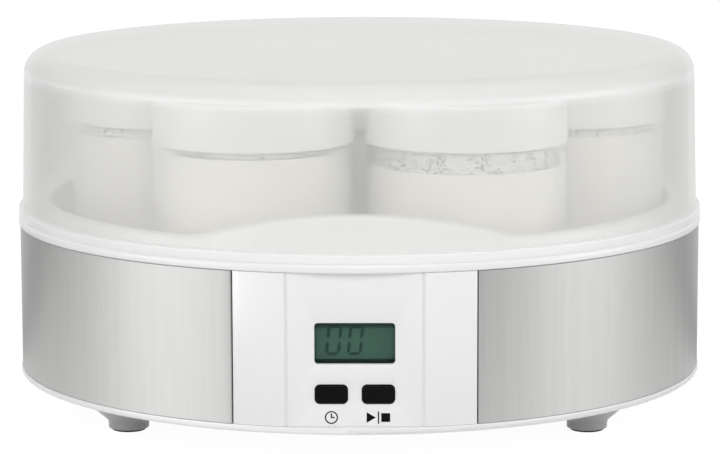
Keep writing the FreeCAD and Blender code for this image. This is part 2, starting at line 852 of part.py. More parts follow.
def make_display():
    """Window behind the panel, display glass, and the holder and contact strips behind it."""
    margin = 2 * dim.window_margin
    keep(upright_plate(
        "lcd_window", lcd_height_up, dim.lcd_width + margin, dim.lcd_height + margin,
        facet_back, dim.window_thickness,
    ), "lcd_window")
    keep(upright_plate(
        "lcd_glass", lcd_height_up, lcd_glass_width, lcd_glass_height, lcd_front, dim.lcd_glass_thickness,
    ), "lcd_glass")
    body = new_body("lcd_holder")
    inner_x = lcd_glass_width / 2 + dim.skin_gap
    inner_z = lcd_glass_height / 2 + dim.skin_gap
    outer_z = inner_z + dim.holder_wall
    pad(
        body, "XZ_Plane", board_face, lcd_front - board_face,
        box_outline(-holder_half_width, holder_half_width, lcd_height_up - outer_z, lcd_height_up + outer_z),
        box_outline(-inner_x, inner_x, lcd_height_up - inner_z, lcd_height_up + inner_z),
    )
    keep(body, "lcd_holder")
    strips = []
    strip_rise = lcd_glass_height / 2 - dim.zebra_width
    for side in (-1, 1):
        strips.append(upright_plate(
            "lcd_zebra_strip", lcd_height_up + side * strip_rise, dim.lcd_width, dim.zebra_width,
            lcd_back, lcd_back - board_face,
        ))
    keep(group("lcd_zebra_strips", strips), "lcd_zebra_strips")


def make_control_board():
    """Upright board behind the display, screwed to four posts of the panel."""
    blank = upright_plate(
        "control_board_blank", (board_high + board_low) / 2, 2 * board_half_width, board_high - board_low,
        board_face, dim.board_thickness,
    )
    holes = []
    screws = []
    for x, z in board_posts:
        holes.append(rod(
            "control_board_hole", x, -board_back, z, dim.post_hole_radius, dim.board_thickness,
            *FACING_FRONT,
        ))
        head = rod(
            "control_board_screw_head", x, -board_back, z, dim.small_screw_head_radius,
            dim.small_screw_head_height, *FACING_REAR,
        )
        shank = rod(
            "control_board_screw_shank", x, -board_back, z, dim.small_screw_radius,
            dim.board_thickness + dim.small_screw_reach, *FACING_FRONT,
        )
        screws.append(fuse("control_board_screw", head, shank))
    keep(cut("control_board", blank, *holes), "control_board")
    keep(group("control_board_screws", screws), "control_board_screws")


def make_saddle(name, radius):
    """Clip with a round channel along X for something held against the plate."""
    depth = 2 * radius + dim.clip_metal
    outer = block(f"{name}_block", 0, 0, -depth, dim.clip_width, 2 * (radius + dim.clip_lip), depth)
    channel_radius = radius + dim.skin_gap
    channel = rod(
        f"{name}_channel", -dim.clip_width, 0, -radius, channel_radius, 2 * dim.clip_width, *FACING_RIGHT,
    )
    slot = block(
        f"{name}_slot", 0, 0, -radius, 2 * dim.clip_width, 2 * channel_radius, radius + dim.clip_metal,
    )
    return cut(name, outer, channel, slot)


def make_warmer():
    """Plate under the well, the heating cord clipped to it, its sensor and its thermal fuse."""
    keep(rod("heater_plate", 0, 0, plate_bottom, plate_radius, dim.plate_thickness), "heater_plate")
    cord = doc.addObject("Part::Torus", "heating_cord")
    bind(cord, "Radius1", heating_ring)
    bind(cord, "Radius2", dim.heating_cord_radius)
    bind(cord, "Angle3", FULL_TURN - dim.heating_cord_open_angle)
    start = QUARTER_TURN + DRIVING_SIZES["heating_cord_open_angle"] / 2
    place(cord, 0, 0, heating_level, (0, 0, 1), start)
    keep(cord, "heating_cord")
    clips = []
    count = int(DRIVING_SIZES["clip_count"])
    for number in range(count):
        angle = FULL_TURN * number / count
        clip = make_saddle("heater_clip", dim.heating_cord_radius)
        x, y = heating_ring * cosine(angle), heating_ring * sine(angle)
        place(clip, x, y, plate_bottom, (0, 0, 1), angle + QUARTER_TURN)
        clips.append(clip)
    keep(group("heater_clips", clips), "heater_clips")
    held = {
        "temperature_sensor": ("sensor_clip", dim.sensor_radius, dim.sensor_length, -dim.sensor_offset),
        "thermal_fuse": ("fuse_clip", dim.fuse_radius, dim.fuse_length, dim.sensor_offset),
    }
    for name, (clip_name, radius, length, x) in held.items():
        capsule = rod(
            name, x - length / 2, -dim.sensor_offset, plate_bottom - radius, radius, length, *FACING_RIGHT,
        )
        keep(capsule, name)
        clip = make_saddle(clip_name, radius)
        place(clip, x, -dim.sensor_offset, plate_bottom)
        keep(clip, clip_name)


def make_power_board():
    """Board on four posts, with a relay, a capacitor, a terminal block and its screws."""
    middle = dim.power_board_offset
    blank = block(
        "power_board_blank", 0, middle, power_face, dim.power_board_length, dim.power_board_width,
        dim.board_thickness,
    )
    holes = []
    screws = []
    for x, y in power_posts:
        holes.append(rod("power_board_hole", x, y, power_face, dim.post_hole_radius, dim.board_thickness))
        head = rod(
            "power_board_screw_head", x, y, power_top, dim.small_screw_head_radius,
            dim.small_screw_head_height,
        )
        shank = rod(
            "power_board_screw_shank", x, y, power_face - dim.small_screw_reach, dim.small_screw_radius,
            dim.small_screw_reach + dim.board_thickness,
        )
        screws.append(fuse("power_board_screw", head, shank))
    keep(cut("power_board", blank, *holes), "power_board")
    keep(group("power_board_screws", screws), "power_board_screws")
    quarter = dim.power_board_length / 4
    relay = block("relay", -quarter, middle, power_top, dim.relay_length, dim.relay_width, dim.relay_height)
    keep(relay, "relay")
    capacitor = rod("capacitor", quarter, middle, power_top, dim.capacitor_radius, dim.capacitor_length)
    keep(capacitor, "capacitor")
    terminal = block(
        "terminal_block", 0, terminal_y, power_top, dim.terminal_length, dim.terminal_width,
        dim.terminal_height,
    )
    keep(terminal, "terminal_block")


def tube_along(points, radius):
    """Round tube on straight runs joined by arcs as large as the runs allow."""
    share = 0.45
    edges = []
    last = points[0]
    for before, corner, after in zip(points, points[1:], points[2:]):
        back = (before - corner).normalize()
        ahead = (after - corner).normalize()
        trim = share * min(before.distanceToPoint(corner), corner.distanceToPoint(after))
        entry = corner + back * trim
        leave = corner + ahead * trim
        half_turn = (math.pi - back.getAngle(ahead)) / 2
        bend = trim / math.tan(half_turn)
        inward = (back + ahead).normalize()
        crown = corner + inward * (bend / math.cos(half_turn) - bend)
        edges.append(Part.LineSegment(last, entry).toShape())
        edges.append(Part.Arc(entry, crown, leave).toShape())
        last = leave
    edges.append(Part.LineSegment(last, points[-1]).toShape())
    path = Part.Wire(edges)
    ring = Part.Circle(points[0], points[1] - points[0], radius).toShape()
    return path.makePipeShell([Part.Wire(ring)], True, True)


def make_wiring():
    """Two leads from the heating cord to the terminal block, and the ribbon to the control board."""
    half_open = DRIVING_SIZES["heating_cord_open_angle"] / 2
    clear = dim.skin_gap
    leads = []
    for side in (-1, 1):
        end = FreeCAD.Vector(
            (side * heating_ring * sine(half_open)).value, (heating_ring * cosine(half_open)).value,
            heating_level.value,
        )
        along = FreeCAD.Vector(-side * cosine(half_open).value, sine(half_open).value, 0)
        seat = FreeCAD.Vector(
            (side * dim.terminal_length / 4).value, terminal_y.value,
            (power_top + dim.terminal_height + clear).value,
        )
        start = end + along * clear.value
        above = FreeCAD.Vector(seat.x, seat.y, end.z)
        knee = start + along * abs(start.x - seat.x) / 2
        leads.append(tube_along([start, knee, above, seat], dim.lead_radius.value))
    feature = doc.addObject("Part::Feature", "heater_leads")
    feature.Shape = Part.makeCompound(leads)
    keep(feature, "heater_leads")

    body = new_body("panel_ribbon")
    thick = dim.ribbon_thickness
    front = -(board_back - clear)
    rear = dim.power_board_offset - dim.power_board_width / 2 + dim.power_post_inset
    low = power_top + clear
    top = low + dim.terminal_height
    pad(body, "YZ_Plane", -dim.ribbon_width / 2, dim.ribbon_width, [
        (front, low), (rear, low), (rear, low + thick), (front + thick, low + thick),
        (front + thick, top), (front, top),
    ])
    keep(body, "panel_ribbon")


def make_gland():
    """Bush for the mains lead: a nose inside, a flange behind the shell and a sleeve through it."""
    flange_radius_here = gland_radius + dim.gland_flange
    flange_front = root(shell_bore * shell_bore - flange_radius_here * flange_radius_here) - dim.skin_gap
    flange_back = flange_front - dim.gland_flange_thickness
    nose_end = flange_back - dim.gland_nose
    sleeve_end = steel_radius + dim.gland_proud
    body = turned_body("cord_gland", [
        (dim.gland_bore_radius, 0), (gland_radius, 0), (gland_radius, flange_back - nose_end),
        (flange_radius_here, flange_back - nose_end), (flange_radius_here, flange_front - nose_end),
        (gland_radius, flange_front - nose_end), (gland_radius, sleeve_end - nose_end),
        (dim.gland_bore_radius, sleeve_end - nose_end),
    ])
    place(body, 0, nose_end, gland_height, *FACING_REAR)
    keep(body, "cord_gland")


def make_lid():
    """Dome with straight drafted sides, round shoulders, a slightly crowned top and a flange."""
    top_radius = lid_radius - dim.lid_draft
    top_bore = lid_bore - dim.lid_draft
    ceiling = lid_edge - dim.lid_wall
    flange_top = rim_top + dim.flange_height
    body = turned_body("lid", [
        (lid_bore, rim_top), (flange_radius, rim_top), (flange_radius, flange_top),
        (lid_radius, flange_top), (top_radius, lid_edge, 0), (0, lid_edge + dim.lid_crown),
        (0, ceiling + dim.lid_crown, 0), (top_bore, ceiling),
    ])
    round_edges(body, dim.lid_shoulder, ring_at(top_radius, lid_edge))
    round_edges(body, dim.lid_shoulder - dim.lid_wall, ring_at(top_bore, ceiling))
    round_edges(body, dim.flange_round, ring_at(flange_radius, flange_top))
    keep(body, "lid")


# Jars: six round one, counted in steps from the right, with the middle row and the front two pushed to the right
jar_places = {
    "left": (dim.middle_row_shift - jar_ring, as_size(0)),
    "middle": (dim.middle_row_shift, as_size(0)),
    "right": (dim.middle_row_shift + jar_ring, as_size(0)),
}
for jar_name, steps in {"rear_right": 1, "rear_left": 2, "front_left": 4, "front_right": 5}.items():
    jar_angle = steps * JAR_STEP
    jar_places[jar_name] = (jar_ring * cosine(jar_angle), jar_ring * sine(jar_angle))
for jar_name, jar_shift in {"front_left": dim.front_left_shift, "front_right": dim.front_right_shift}.items():
    jar_x, jar_y = jar_places[jar_name]
    jar_places[jar_name] = (jar_x + jar_shift, jar_y)
# how much more or less than the usual height a jar is filled
fill_changes = {"front_left": 1.2, "front_right": -3.6, "left": -0.6, "middle": -1.4, "rear_left": -2.2}


def make_jar(place_name, x, y):
    """Straight glass jar with a thick base and a short neck, its yogurt, and its push-on cap."""
    body_radius = dim.jar_cap_radius - dim.jar_body_inset
    cap_bore = dim.jar_cap_radius - dim.jar_cap_skirt
    bead_radius = cap_bore - dim.jar_cap_clearance
    neck_radius = bead_radius - dim.jar_bead
    body_bore = body_radius - dim.jar_glass
    mouth_radius = neck_radius - dim.jar_glass
    cap_bottom = dim.jar_height + dim.jar_cap_top - dim.jar_cap_height
    neck_bottom = cap_bottom - dim.jar_cap_clearance
    shoulder = neck_bottom - dim.jar_shoulder
    bead = dim.jar_height - dim.jar_bead_drop
    jar = turned_body(f"jar_{place_name}", [
        (0, 0), (body_radius, 0), (body_radius, shoulder), (neck_radius, neck_bottom),
        (neck_radius, bead - dim.jar_bead), (bead_radius, bead), (neck_radius, bead + dim.jar_bead),
        (neck_radius, dim.jar_height), (mouth_radius, dim.jar_height), (mouth_radius, neck_bottom),
        (body_bore, shoulder), (body_bore, dim.jar_base), (0, dim.jar_base),
    ])
    round_edges(jar, dim.jar_heel, ring_at(body_radius, 0))
    round_edges(jar, dim.jar_heel, ring_at(body_bore, dim.jar_base))
    place(jar, x, y, floor_top)
    keep(jar, f"jar_{place_name}")

    fill_radius = body_bore - dim.fill_gap
    fill_bottom = dim.jar_base + dim.fill_gap
    fill_top = dim.fill_height + fill_changes.get(place_name, 0)
    yogurt = turned_body(f"yogurt_{place_name}", [
        (0, fill_bottom), (fill_radius, fill_bottom), (fill_radius, fill_top), (0, fill_top),
    ])
    round_edges(yogurt, dim.jar_heel - dim.fill_gap, ring_at(fill_radius, fill_bottom))
    place(yogurt, x, y, floor_top)
    keep(yogurt, f"yogurt_{place_name}")

    plug_radius = mouth_radius - dim.jar_cap_plug_clearance
    plug_bore = plug_radius - dim.jar_cap_plug_wall
    ceiling = dim.jar_height
    plug_end = ceiling - dim.jar_cap_plug_depth
    top = dim.jar_height + dim.jar_cap_top
    top_radius = dim.jar_cap_radius - dim.jar_cap_draft
    cap = turned_body(f"jar_cap_{place_name}", [
        (cap_bore, cap_bottom), (dim.jar_cap_radius, cap_bottom), (top_radius, top), (0, top),
        (0, ceiling), (plug_bore, ceiling), (plug_bore, plug_end), (plug_radius, plug_end),
        (plug_radius, ceiling), (cap_bore, ceiling),
    ])
    round_edges(cap, dim.jar_cap_round, ring_at(top_radius, top))
    place(cap, x, y, floor_top)
    keep(cap, f"jar_cap_{place_name}")


make_tub()
make_body_shell()
make_steel_wrap()
make_front_panel()
make_bottom_cover()
make_feet()
for button_name, button_x in button_places.items():
    make_button(button_name, button_x)
make_display()
make_control_board()
make_warmer()
make_power_board()
make_wiring()
make_gland()
make_lid()
for jar_name, (jar_x, jar_y) in jar_places.items():
    make_jar(jar_name, jar_x, jar_y)

doc.recompute()
for thing in doc.Objects:
    if "Invalid" in thing.State or "Error" in thing.State:
        raise ValueError(f"{thing.Name} could not be worked out: {thing.State}")
for piece in sub_parts:
    if piece.Shape.isNull() or not piece.Shape.isValid():
        raise ValueError(f"{piece.Label} has no sound shape")
os.makedirs("parts", exist_ok=True)
for piece in sub_parts:
    piece.Shape.exportStep(f"parts/{piece.Label}.step")
print(f"{len(sub_parts)} sub-parts written")
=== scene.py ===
import json
import math

import bmesh
import bpy
from mathutils import Matrix, Vector


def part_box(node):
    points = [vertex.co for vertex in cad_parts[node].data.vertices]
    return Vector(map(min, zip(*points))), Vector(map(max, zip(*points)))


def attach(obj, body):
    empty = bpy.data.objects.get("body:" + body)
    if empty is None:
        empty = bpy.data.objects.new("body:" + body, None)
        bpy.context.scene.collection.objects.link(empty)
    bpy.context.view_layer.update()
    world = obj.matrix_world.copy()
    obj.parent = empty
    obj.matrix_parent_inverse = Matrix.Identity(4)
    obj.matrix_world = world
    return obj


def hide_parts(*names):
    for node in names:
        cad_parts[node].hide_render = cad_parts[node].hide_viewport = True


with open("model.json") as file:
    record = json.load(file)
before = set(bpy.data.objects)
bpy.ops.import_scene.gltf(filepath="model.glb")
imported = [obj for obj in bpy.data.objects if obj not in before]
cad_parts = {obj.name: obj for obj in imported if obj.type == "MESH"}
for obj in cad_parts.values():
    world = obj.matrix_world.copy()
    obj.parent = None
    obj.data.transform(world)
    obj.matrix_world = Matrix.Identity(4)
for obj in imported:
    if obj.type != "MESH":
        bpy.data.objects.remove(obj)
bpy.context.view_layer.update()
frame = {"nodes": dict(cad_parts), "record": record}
nodes = frame["nodes"]
record = frame["record"]
slotOf = {row["node"]: row["material_slot"] for row in record["subparts"]}
bodyOf = {node: body for body, members in record["behaviour"]["bodies"].items() for node in members}
jarPlaces = [node[len("yogurt_"):] for node in sorted(nodes) if node.startswith("yogurt_")]
footPlaces = ("front_left", "front_right", "rear_left", "rear_right")
mm = 0.001  # sizes below are in millimetres, the scene is in metres
tiny = 1e-6
white = (1, 1, 1)
print(f"frame: {len(nodes)} nodes, {len(jarPlaces)} jars")

# ways to wire nodes


def connect(socket, value):
    if isinstance(value, bpy.types.NodeSocket):
        socket.id_data.links.new(value, socket)
    else:
        socket.default_value = value


def feed(node, **values):
    # an underscore stands for a space in the socket's name
    for label, value in values.items():
        connect(node.inputs[label.replace("_", " ")], value)


def feedInOrder(node, *values):
    for socket, value in zip(node.inputs, values):
        connect(socket, value)
    return node


def addNode(tree, kind, settings=None, **values):
    node = tree.nodes.new(kind)
    for name, value in (settings or {}).items():
        setattr(node, name, value)
    feed(node, **values)
    return node


def calc(tree, operation, *values):
    return feedInOrder(addNode(tree, "ShaderNodeMath", {"operation": operation}), *values).outputs[0]


def blended(tree, factor, first, second):
    sides = [side if isinstance(side, bpy.types.NodeSocket) else (*side, 1) for side in (first, second)]
    mix = addNode(tree, "ShaderNodeMix", {"data_type": "RGBA"}, Factor=factor, A=sides[0], B=sides[1])
    return mix.outputs["Result"]


def mapped(tree, value, low, high, start=0.0, end=1.0, smooth=False):
    # gives low where value is start and high where it is end
    ramp = addNode(tree, "ShaderNodeMapRange", {"interpolation_type": "SMOOTHSTEP" if smooth else "LINEAR"})
    feed(ramp, Value=value, From_Min=start, From_Max=end, To_Min=low, To_Max=high)
    return ramp.outputs["Result"]


def ramped(tree, value, stops):
    # stops are (place, grey) from 0 to 1
    ramp = addNode(tree, "ShaderNodeValToRGB", Fac=value)
    elements = ramp.color_ramp.elements
    for i, (spot, grey) in enumerate(stops):
        element = elements[0] if i == 0 else elements[-1] if i == len(stops) - 1 else elements.new(spot)
        element.position = spot
        element.color = (grey, grey, grey, 1)
    return ramp.outputs["Color"]


def objectPlace(tree):
    return addNode(tree, "ShaderNodeTexCoord").outputs["Object"]


def axesOf(tree, place):
    return addNode(tree, "ShaderNodeSeparateXYZ", Vector=place).outputs


def noise(tree, place, **values):
    return addNode(tree, "ShaderNodeTexNoise", Vector=place, **values).outputs["Fac"]


def mixedShader(tree, factor, first, second):
    mix = addNode(tree, "ShaderNodeMixShader")
    return feedInOrder(mix, factor, first.outputs[0], second.outputs[0]).outputs[0]


def newGroup(name, kind, inputs, outputs):
    # inputs and outputs give the kind of socket by its label
    tree = bpy.data.node_groups.new(name, f"{kind}NodeTree")
    for side, sockets in (("INPUT", inputs), ("OUTPUT", outputs)):
        for label, socket in sockets.items():
            tree.interface.new_socket(label, in_out=side, socket_type=f"NodeSocket{socket}")
    return tree, addNode(tree, "NodeGroupInput").outputs, addNode(tree, "NodeGroupOutput")


def clearedTree(owner):
    owner.use_nodes = True
    owner.node_tree.nodes.clear()
    return owner.node_tree


def newObject(name, data):
    made = bpy.data.objects.new(name, data)
    bpy.context.scene.collection.objects.link(made)
    return made


# camera and light

cameraSetup = {
    "distance": 1188.3, "height": 252.07, "azimuth": 0.8, "pitchDown": 9.05, "roll": -0.157, "swing": -0.008,
    "lens": 162.96, "sensor": 36.0, "near": 0.05, "far": 50.0,
}
softboxes = {
    "leftSoftbox": {"azimuth": -70, "elevation": 9, "distance": 1.7, "size": (1.0, 0.5), "power": 1.6},
    "rightSoftbox": {"azimuth": 78, "elevation": 9, "distance": 1.7, "size": (1.0, 0.5), "power": 1.6},
    "leftStrip": {"azimuth": -60, "elevation": 8, "distance": 1.7, "size": (1.5, 0.6), "power": 15.2},
    "rightStrip": {"azimuth": 76, "elevation": 8, "distance": 1.7, "size": (1.2, 0.6), "power": 10.6},
    "frontSoftbox": {"azimuth": 5, "elevation": 38, "distance": 2.4, "size": (2.0, 1.2), "power": 20.5},
    "topSoftbox": {"azimuth": 8, "elevation": 75, "distance": 1.8, "size": (1.4, 1.2), "power": 3.0},
}
glossOnly = ("leftStrip", "rightStrip")  # reflectors that only metal and gloss pick up
stageSetup = {
    "floorSide": 14.0, "floorTone": 0.86, "whiteShare": 0.86, "white": 1.11, "worldFill": 0.5,
    "target": (0, 0, 0.06),
    "sideShade": ((0.0, 1.0), (0.30, 1.0), (0.42, 0.3), (0.60, 0.3), (0.70, 1.0), (1.0, 1.0)),
}


def backgroundRays(tree):
    # what the camera, metal and glass see is the white background
    path = addNode(tree, "ShaderNodeLightPath").outputs
    some = calc(tree, "MAXIMUM", path["Is Camera Ray"], path["Is Glossy Ray"])
    return calc(tree, "MAXIMUM", some, path["Is Transmission Ray"])


def makeCamera():
    setup = cameraSetup
    turn = math.radians(setup["azimuth"])
    data = bpy.data.cameras.new("photoCamera")
    data.lens, data.sensor_width = setup["lens"], setup["sensor"]
    data.clip_start, data.clip_end = setup["near"], setup["far"]
    camera = newObject("photoCamera", data)
    reach = setup["distance"] * mm
    camera.location = (reach * math.sin(turn), -reach * math.cos(turn), setup["height"] * mm)
    aim = Matrix.Rotation(turn + math.radians(setup["swing"]), 3, "Z")
    aim = aim @ Matrix.Rotation(math.pi / 2 - math.radians(setup["pitchDown"]), 3, "X")
    camera.rotation_euler = (aim @ Matrix.Rotation(math.radians(setup["roll"]), 3, "Z")).to_euler()
    bpy.context.scene.camera = camera


def makeLamp(name, box):
    lamp = bpy.data.lights.new(name, "AREA")
    lamp.shape = "RECTANGLE"
    lamp.size, lamp.size_y = box["size"]
    lamp.energy = box["power"]
    holder = newObject(name, lamp)
    side, lift = math.radians(box["azimuth"]), math.radians(box["elevation"])
    flat = box["distance"] * math.cos(lift)
    holder.location = (flat * math.sin(side), -flat * math.cos(side), box["distance"] * math.sin(lift))
    view = Vector(stageSetup["target"]) - holder.location
    holder.rotation_euler = view.to_track_quat("-Z", "Y").to_euler()
    if name in glossOnly:
        holder.visible_diffuse = holder.visible_transmission = False


def makeWorld():
    world = bpy.data.worlds.new("studioWorld")
    tree = clearedTree(world)
    fill = addNode(tree, "ShaderNodeBackground", Color=(*white, 1), Strength=stageSetup["worldFill"])
    bright = addNode(tree, "ShaderNodeBackground", Color=(*white, 1), Strength=1.0)
    feedInOrder(addNode(tree, "ShaderNodeOutputWorld"), mixedShader(tree, backgroundRays(tree), fill, bright))
    bpy.context.scene.world = world


def makeFloor():
    half = stageSetup["floorSide"] / 2
    mesh = bpy.data.meshes.new("floor")
    corners = [(-half, -half, 0), (half, -half, 0), (half, half, 0), (-half, half, 0)]
    mesh.from_pydata(corners, [], [(0, 1, 2, 3)])
    floor = newObject("floor", mesh)
    paper = bpy.data.materials.new("paperFloor")
    tree = clearedTree(paper)
    matte = addNode(tree, "ShaderNodeBsdfDiffuse", Color=(*[stageSetup["floorTone"]] * 3, 1))
    direction = addNode(tree, "ShaderNodeVectorMath", {"operation": "NORMALIZE"})
    feedInOrder(direction, objectPlace(tree))
    # metal picks up darker ground behind, to the left and the right
    shade = ramped(tree, axesOf(tree, direction.outputs[0])["Y"], stageSetup["sideShade"])
    gloss = addNode(tree, "ShaderNodeLightPath").outputs["Is Glossy Ray"]
    ground = blended(tree, gloss, white, shade)
    glow = addNode(tree, "ShaderNodeEmission", Color=ground, Strength=stageSetup["white"])
    share = calc(tree, "MULTIPLY", backgroundRays(tree), stageSetup["whiteShare"])
    feedInOrder(addNode(tree, "ShaderNodeOutputMaterial"), mixedShader(tree, share, matte, glow))
    mesh.materials.append(paper)


bpy.context.scene.view_settings.view_transform = "Standard"
makeCamera()
for lampName, lampBox in softboxes.items():
    makeLamp(lampName, lampBox)
makeWorld()
makeFloor()
print(f"stage: camera, {len(softboxes)} softboxes and a floor")

# shared finishes

effectOutputs = {"Colour": "Color", "Roughness": "Float", "Height": "Float"}


def makeMouldedGrain():
    # slow colour drift, fine roughness and a shallow spark-eroded grain
    inputs = {"Tone": "Color", "Shade": "Color", "Grain Scale": "Float", "Smooth": "Float", "Rough": "Float"}
    tree, given, made = newGroup("mouldedGrain", "Shader", inputs, effectOutputs)
    place = objectPlace(tree)
    drift = noise(tree, place, Scale=14.0, Detail=3.0, Roughness=0.55)
    grain = noise(tree, place, Scale=given["Grain Scale"], Detail=2.0, Roughness=0.5)
    smear = noise(tree, place, Scale=60.0, Detail=4.0, Roughness=0.6, Distortion=0.4)
    colour = blended(tree, mapped(tree, drift, -0.4, 1.4), given["Tone"], given["Shade"])
    feed(made, Colour=colour, Roughness=mapped(tree, smear, given["Smooth"], given["Rough"]), Height=grain)
    return tree


def makeBrushLines():
    # long fine scratches along the third axis of the place it is given
    inputs = {"Place": "Vector", "Tone": "Color", "Shade": "Color", "Smooth": "Float", "Rough": "Float"}
    tree, given, made = newGroup("brushLines", "Shader", inputs, effectOutputs)
    fine = noise(tree, given["Place"], Scale=2600.0, Detail=3.0, Roughness=0.6)
    broad = noise(tree, given["Place"], Scale=230.0, Detail=4.0, Roughness=0.6)
    both = calc(tree, "MULTIPLY", calc(tree, "ADD", fine, broad), 0.5)
    colour = blended(tree, mapped(tree, both, -0.6, 1.6), given["Tone"], given["Shade"])
    feed(made, Colour=colour, Roughness=mapped(tree, broad, given["Smooth"], given["Rough"]), Height=fine)
    return tree


mouldedGrain = makeMouldedGrain()
brushLines = makeBrushLines()


def newFinish(name, **values):
    material = bpy.data.materials.new(name)
    tree = clearedTree(material)
    shader = addNode(tree, "ShaderNodeBsdfPrincipled", **values)
    feedInOrder(addNode(tree, "ShaderNodeOutputMaterial"), shader.outputs[0])
    return material, tree, shader


def bumped(tree, shader, height, strength, depth):
    bump = addNode(tree, "ShaderNodeBump", Height=height, Strength=strength, Distance=depth * mm)
    feed(shader, Normal=bump.outputs[0])


def useEffect(tree, shader, group, strength, depth, **values):
    effect = addNode(tree, "ShaderNodeGroup", {"node_tree": group}, **values).outputs
    feed(shader, Base_Color=effect["Colour"], Roughness=effect["Roughness"])
    bumped(tree, shader, effect["Height"], strength, depth)


def mouldedFinish(name, tone, shade, smooth, rough, grain, bump, **values):
    material, tree, shader = newFinish(name, **values)
    useEffect(tree, shader, mouldedGrain, strength=bump, depth=0.05, Tone=(*tone, 1), Shade=(*shade, 1),
              Grain_Scale=grain, Smooth=smooth, Rough=rough)
    return material, tree, shader


def overlaid(tree, shader, factor, tone):
    # lays a second tone over the base colour
    under = shader.inputs["Base Color"].links[0].from_socket
    feed(shader, Base_Color=blended(tree, factor, under, tone))


def thinnedForLight(tree, shader, seen, lit):
    # light soaks through to what stands inside: alpha is lower for shadow and diffuse rays
    path = addNode(tree, "ShaderNodeLightPath").outputs
    soft = calc(tree, "MAXIMUM", path["Is Shadow Ray"], path["Is Diffuse Ray"])
    feed(shader, Alpha=mapped(tree, soft, seen, lit))


lid = {
    "bore": 120.8, "radius": 123.4, "wall": 2.6, "draft": 1.4, "edge": 129.8, "crown": 1.6, "shoulder": 8.0,
    "flangeRadius": 124.9, "flangeTop": 73.4, "flangeBend": 0.9, "flangeFoot": 0.3, "wallFoot": 0.5,
    "foot": 69.96, "lift": 0.3, "crownSteps": 14, "arcSteps": 8, "steps": 288, "flangeFade": 0.6,
    "flangeCover": 0.92, "flangeWhiteAndHighlight": (0.95, 0.95, 0.945), "lit": 0.04,
    "thickening": (120.0, 122.6, 0.9),  # from and to a height, most cover
    "veil": ((0.0, 0.52), (0.30, 0.57), (0.55, 0.71), (0.75, 0.91), (1.0, 0.99)),  # slant, cover
    "paintedShoulderHighlight": ((119.5, 0.0), (121.6, 0.9), (122.9, 0.9), (124.6, 0.12), (128.0, 0.0)),  # height, share
}


def makeLidPlastic():
    size = lid
    material, tree, shader = mouldedFinish(
        "lidPlastic", (0.835, 0.838, 0.82), (0.825, 0.828, 0.81), 0.22, 0.26, 700, 0.01,
        Specular_IOR_Level=0.1)
    rise = axesOf(tree, objectPlace(tree))["Z"]
    flangeTop = size["flangeTop"]  # the thick flange is whiter than the wall; the bend into the top gets a painted highlight, a whiter band
    flange = mapped(tree, rise, 0.0, 1.0, flangeTop * mm, (flangeTop - size["flangeFade"]) * mm)
    # painted highlight: a whiter band round the shoulder, where the lamps' highlight falls
    low, high = size["paintedShoulderHighlight"][0][0], size["paintedShoulderHighlight"][-1][0]
    stops = [((height - low) / (high - low), share) for height, share in size["paintedShoulderHighlight"]]
    bend = ramped(tree, mapped(tree, rise, 0.0, 1.0, low * mm, high * mm), stops)
    overlaid(tree, shader, calc(tree, "MAXIMUM", flange, bend), size["flangeWhiteAndHighlight"])
    facing = addNode(tree, "ShaderNodeLayerWeight", Blend=0.5).outputs["Facing"]
    veil = ramped(tree, facing, size["veil"])  # a slanting look goes through more of the milky wall
    low, high, most = size["thickening"]
    thick = mapped(tree, rise, 0.0, most, low * mm, high * mm, smooth=True)
    milky = calc(tree, "MAXIMUM", veil, thick)
    cover = calc(tree, "MAXIMUM", milky, mapped(tree, flange, 0.0, size["flangeCover"]))
    back = addNode(tree, "ShaderNodeNewGeometry").outputs["Backfacing"]
    thinnedForLight(tree, shader, mapped(tree, back, cover, 0.0), size["lit"])  # each wall veils once
    return material


whiteMoulding = ((0.90, 0.90, 0.898), (0.89, 0.89, 0.887), 0.30, 0.34, 900, 0.01)
panelGrooveShade = {"middle": 23.0, "half": 0.62, "soft": 0.3, "tone": (0.80, 0.80, 0.795)}


def makePanelPlastic():
    # white like the tub, with painted shade in the two upright grooves
    size = panelGrooveShade
    material, tree, shader = mouldedFinish("panelPlastic", *whiteMoulding)
    side = calc(tree, "ABSOLUTE", axesOf(tree, objectPlace(tree))["X"])
    away = calc(tree, "ABSOLUTE", calc(tree, "SUBTRACT", side, size["middle"] * mm))
    half = size["half"]
    # painted shade: darker along each groove, where shade falls
    paintedGrooveShade = mapped(tree, away, 0.0, 1.0, half * mm, (half - size["soft"]) * mm, smooth=True)
    overlaid(tree, shader, paintedGrooveShade, size["tone"])
    return material


# the top edge gets a painted highlight, a paler tone, and is made smoother
capEdge = {"low": 117.4, "high": 118.6, "tone": (0.95, 0.95, 0.94), "roughness": 0.14, "lit": 0.25}


def makeCapPlastic():
    material, tree, shader = mouldedFinish(
        "capPlastic", (0.88, 0.88, 0.86), (0.87, 0.87, 0.848), 0.36, 0.42, 800, 0.02, Specular_IOR_Level=0.45,
        Diffuse_Roughness=1.0)
    rise = axesOf(tree, objectPlace(tree))["Z"]
    # painted highlight along the cap's top edge
    paintedEdgeHighlight = mapped(tree, rise, 0.0, 1.0, capEdge["low"] * mm, capEdge["high"] * mm, smooth=True)
    overlaid(tree, shader, paintedEdgeHighlight, capEdge["tone"])
    moulded = shader.inputs["Roughness"].links[0].from_socket
    feed(shader, Roughness=mapped(tree, paintedEdgeHighlight, moulded, capEdge["roughness"]))
    thinnedForLight(tree, shader, 1.0, capEdge["lit"])
    return material


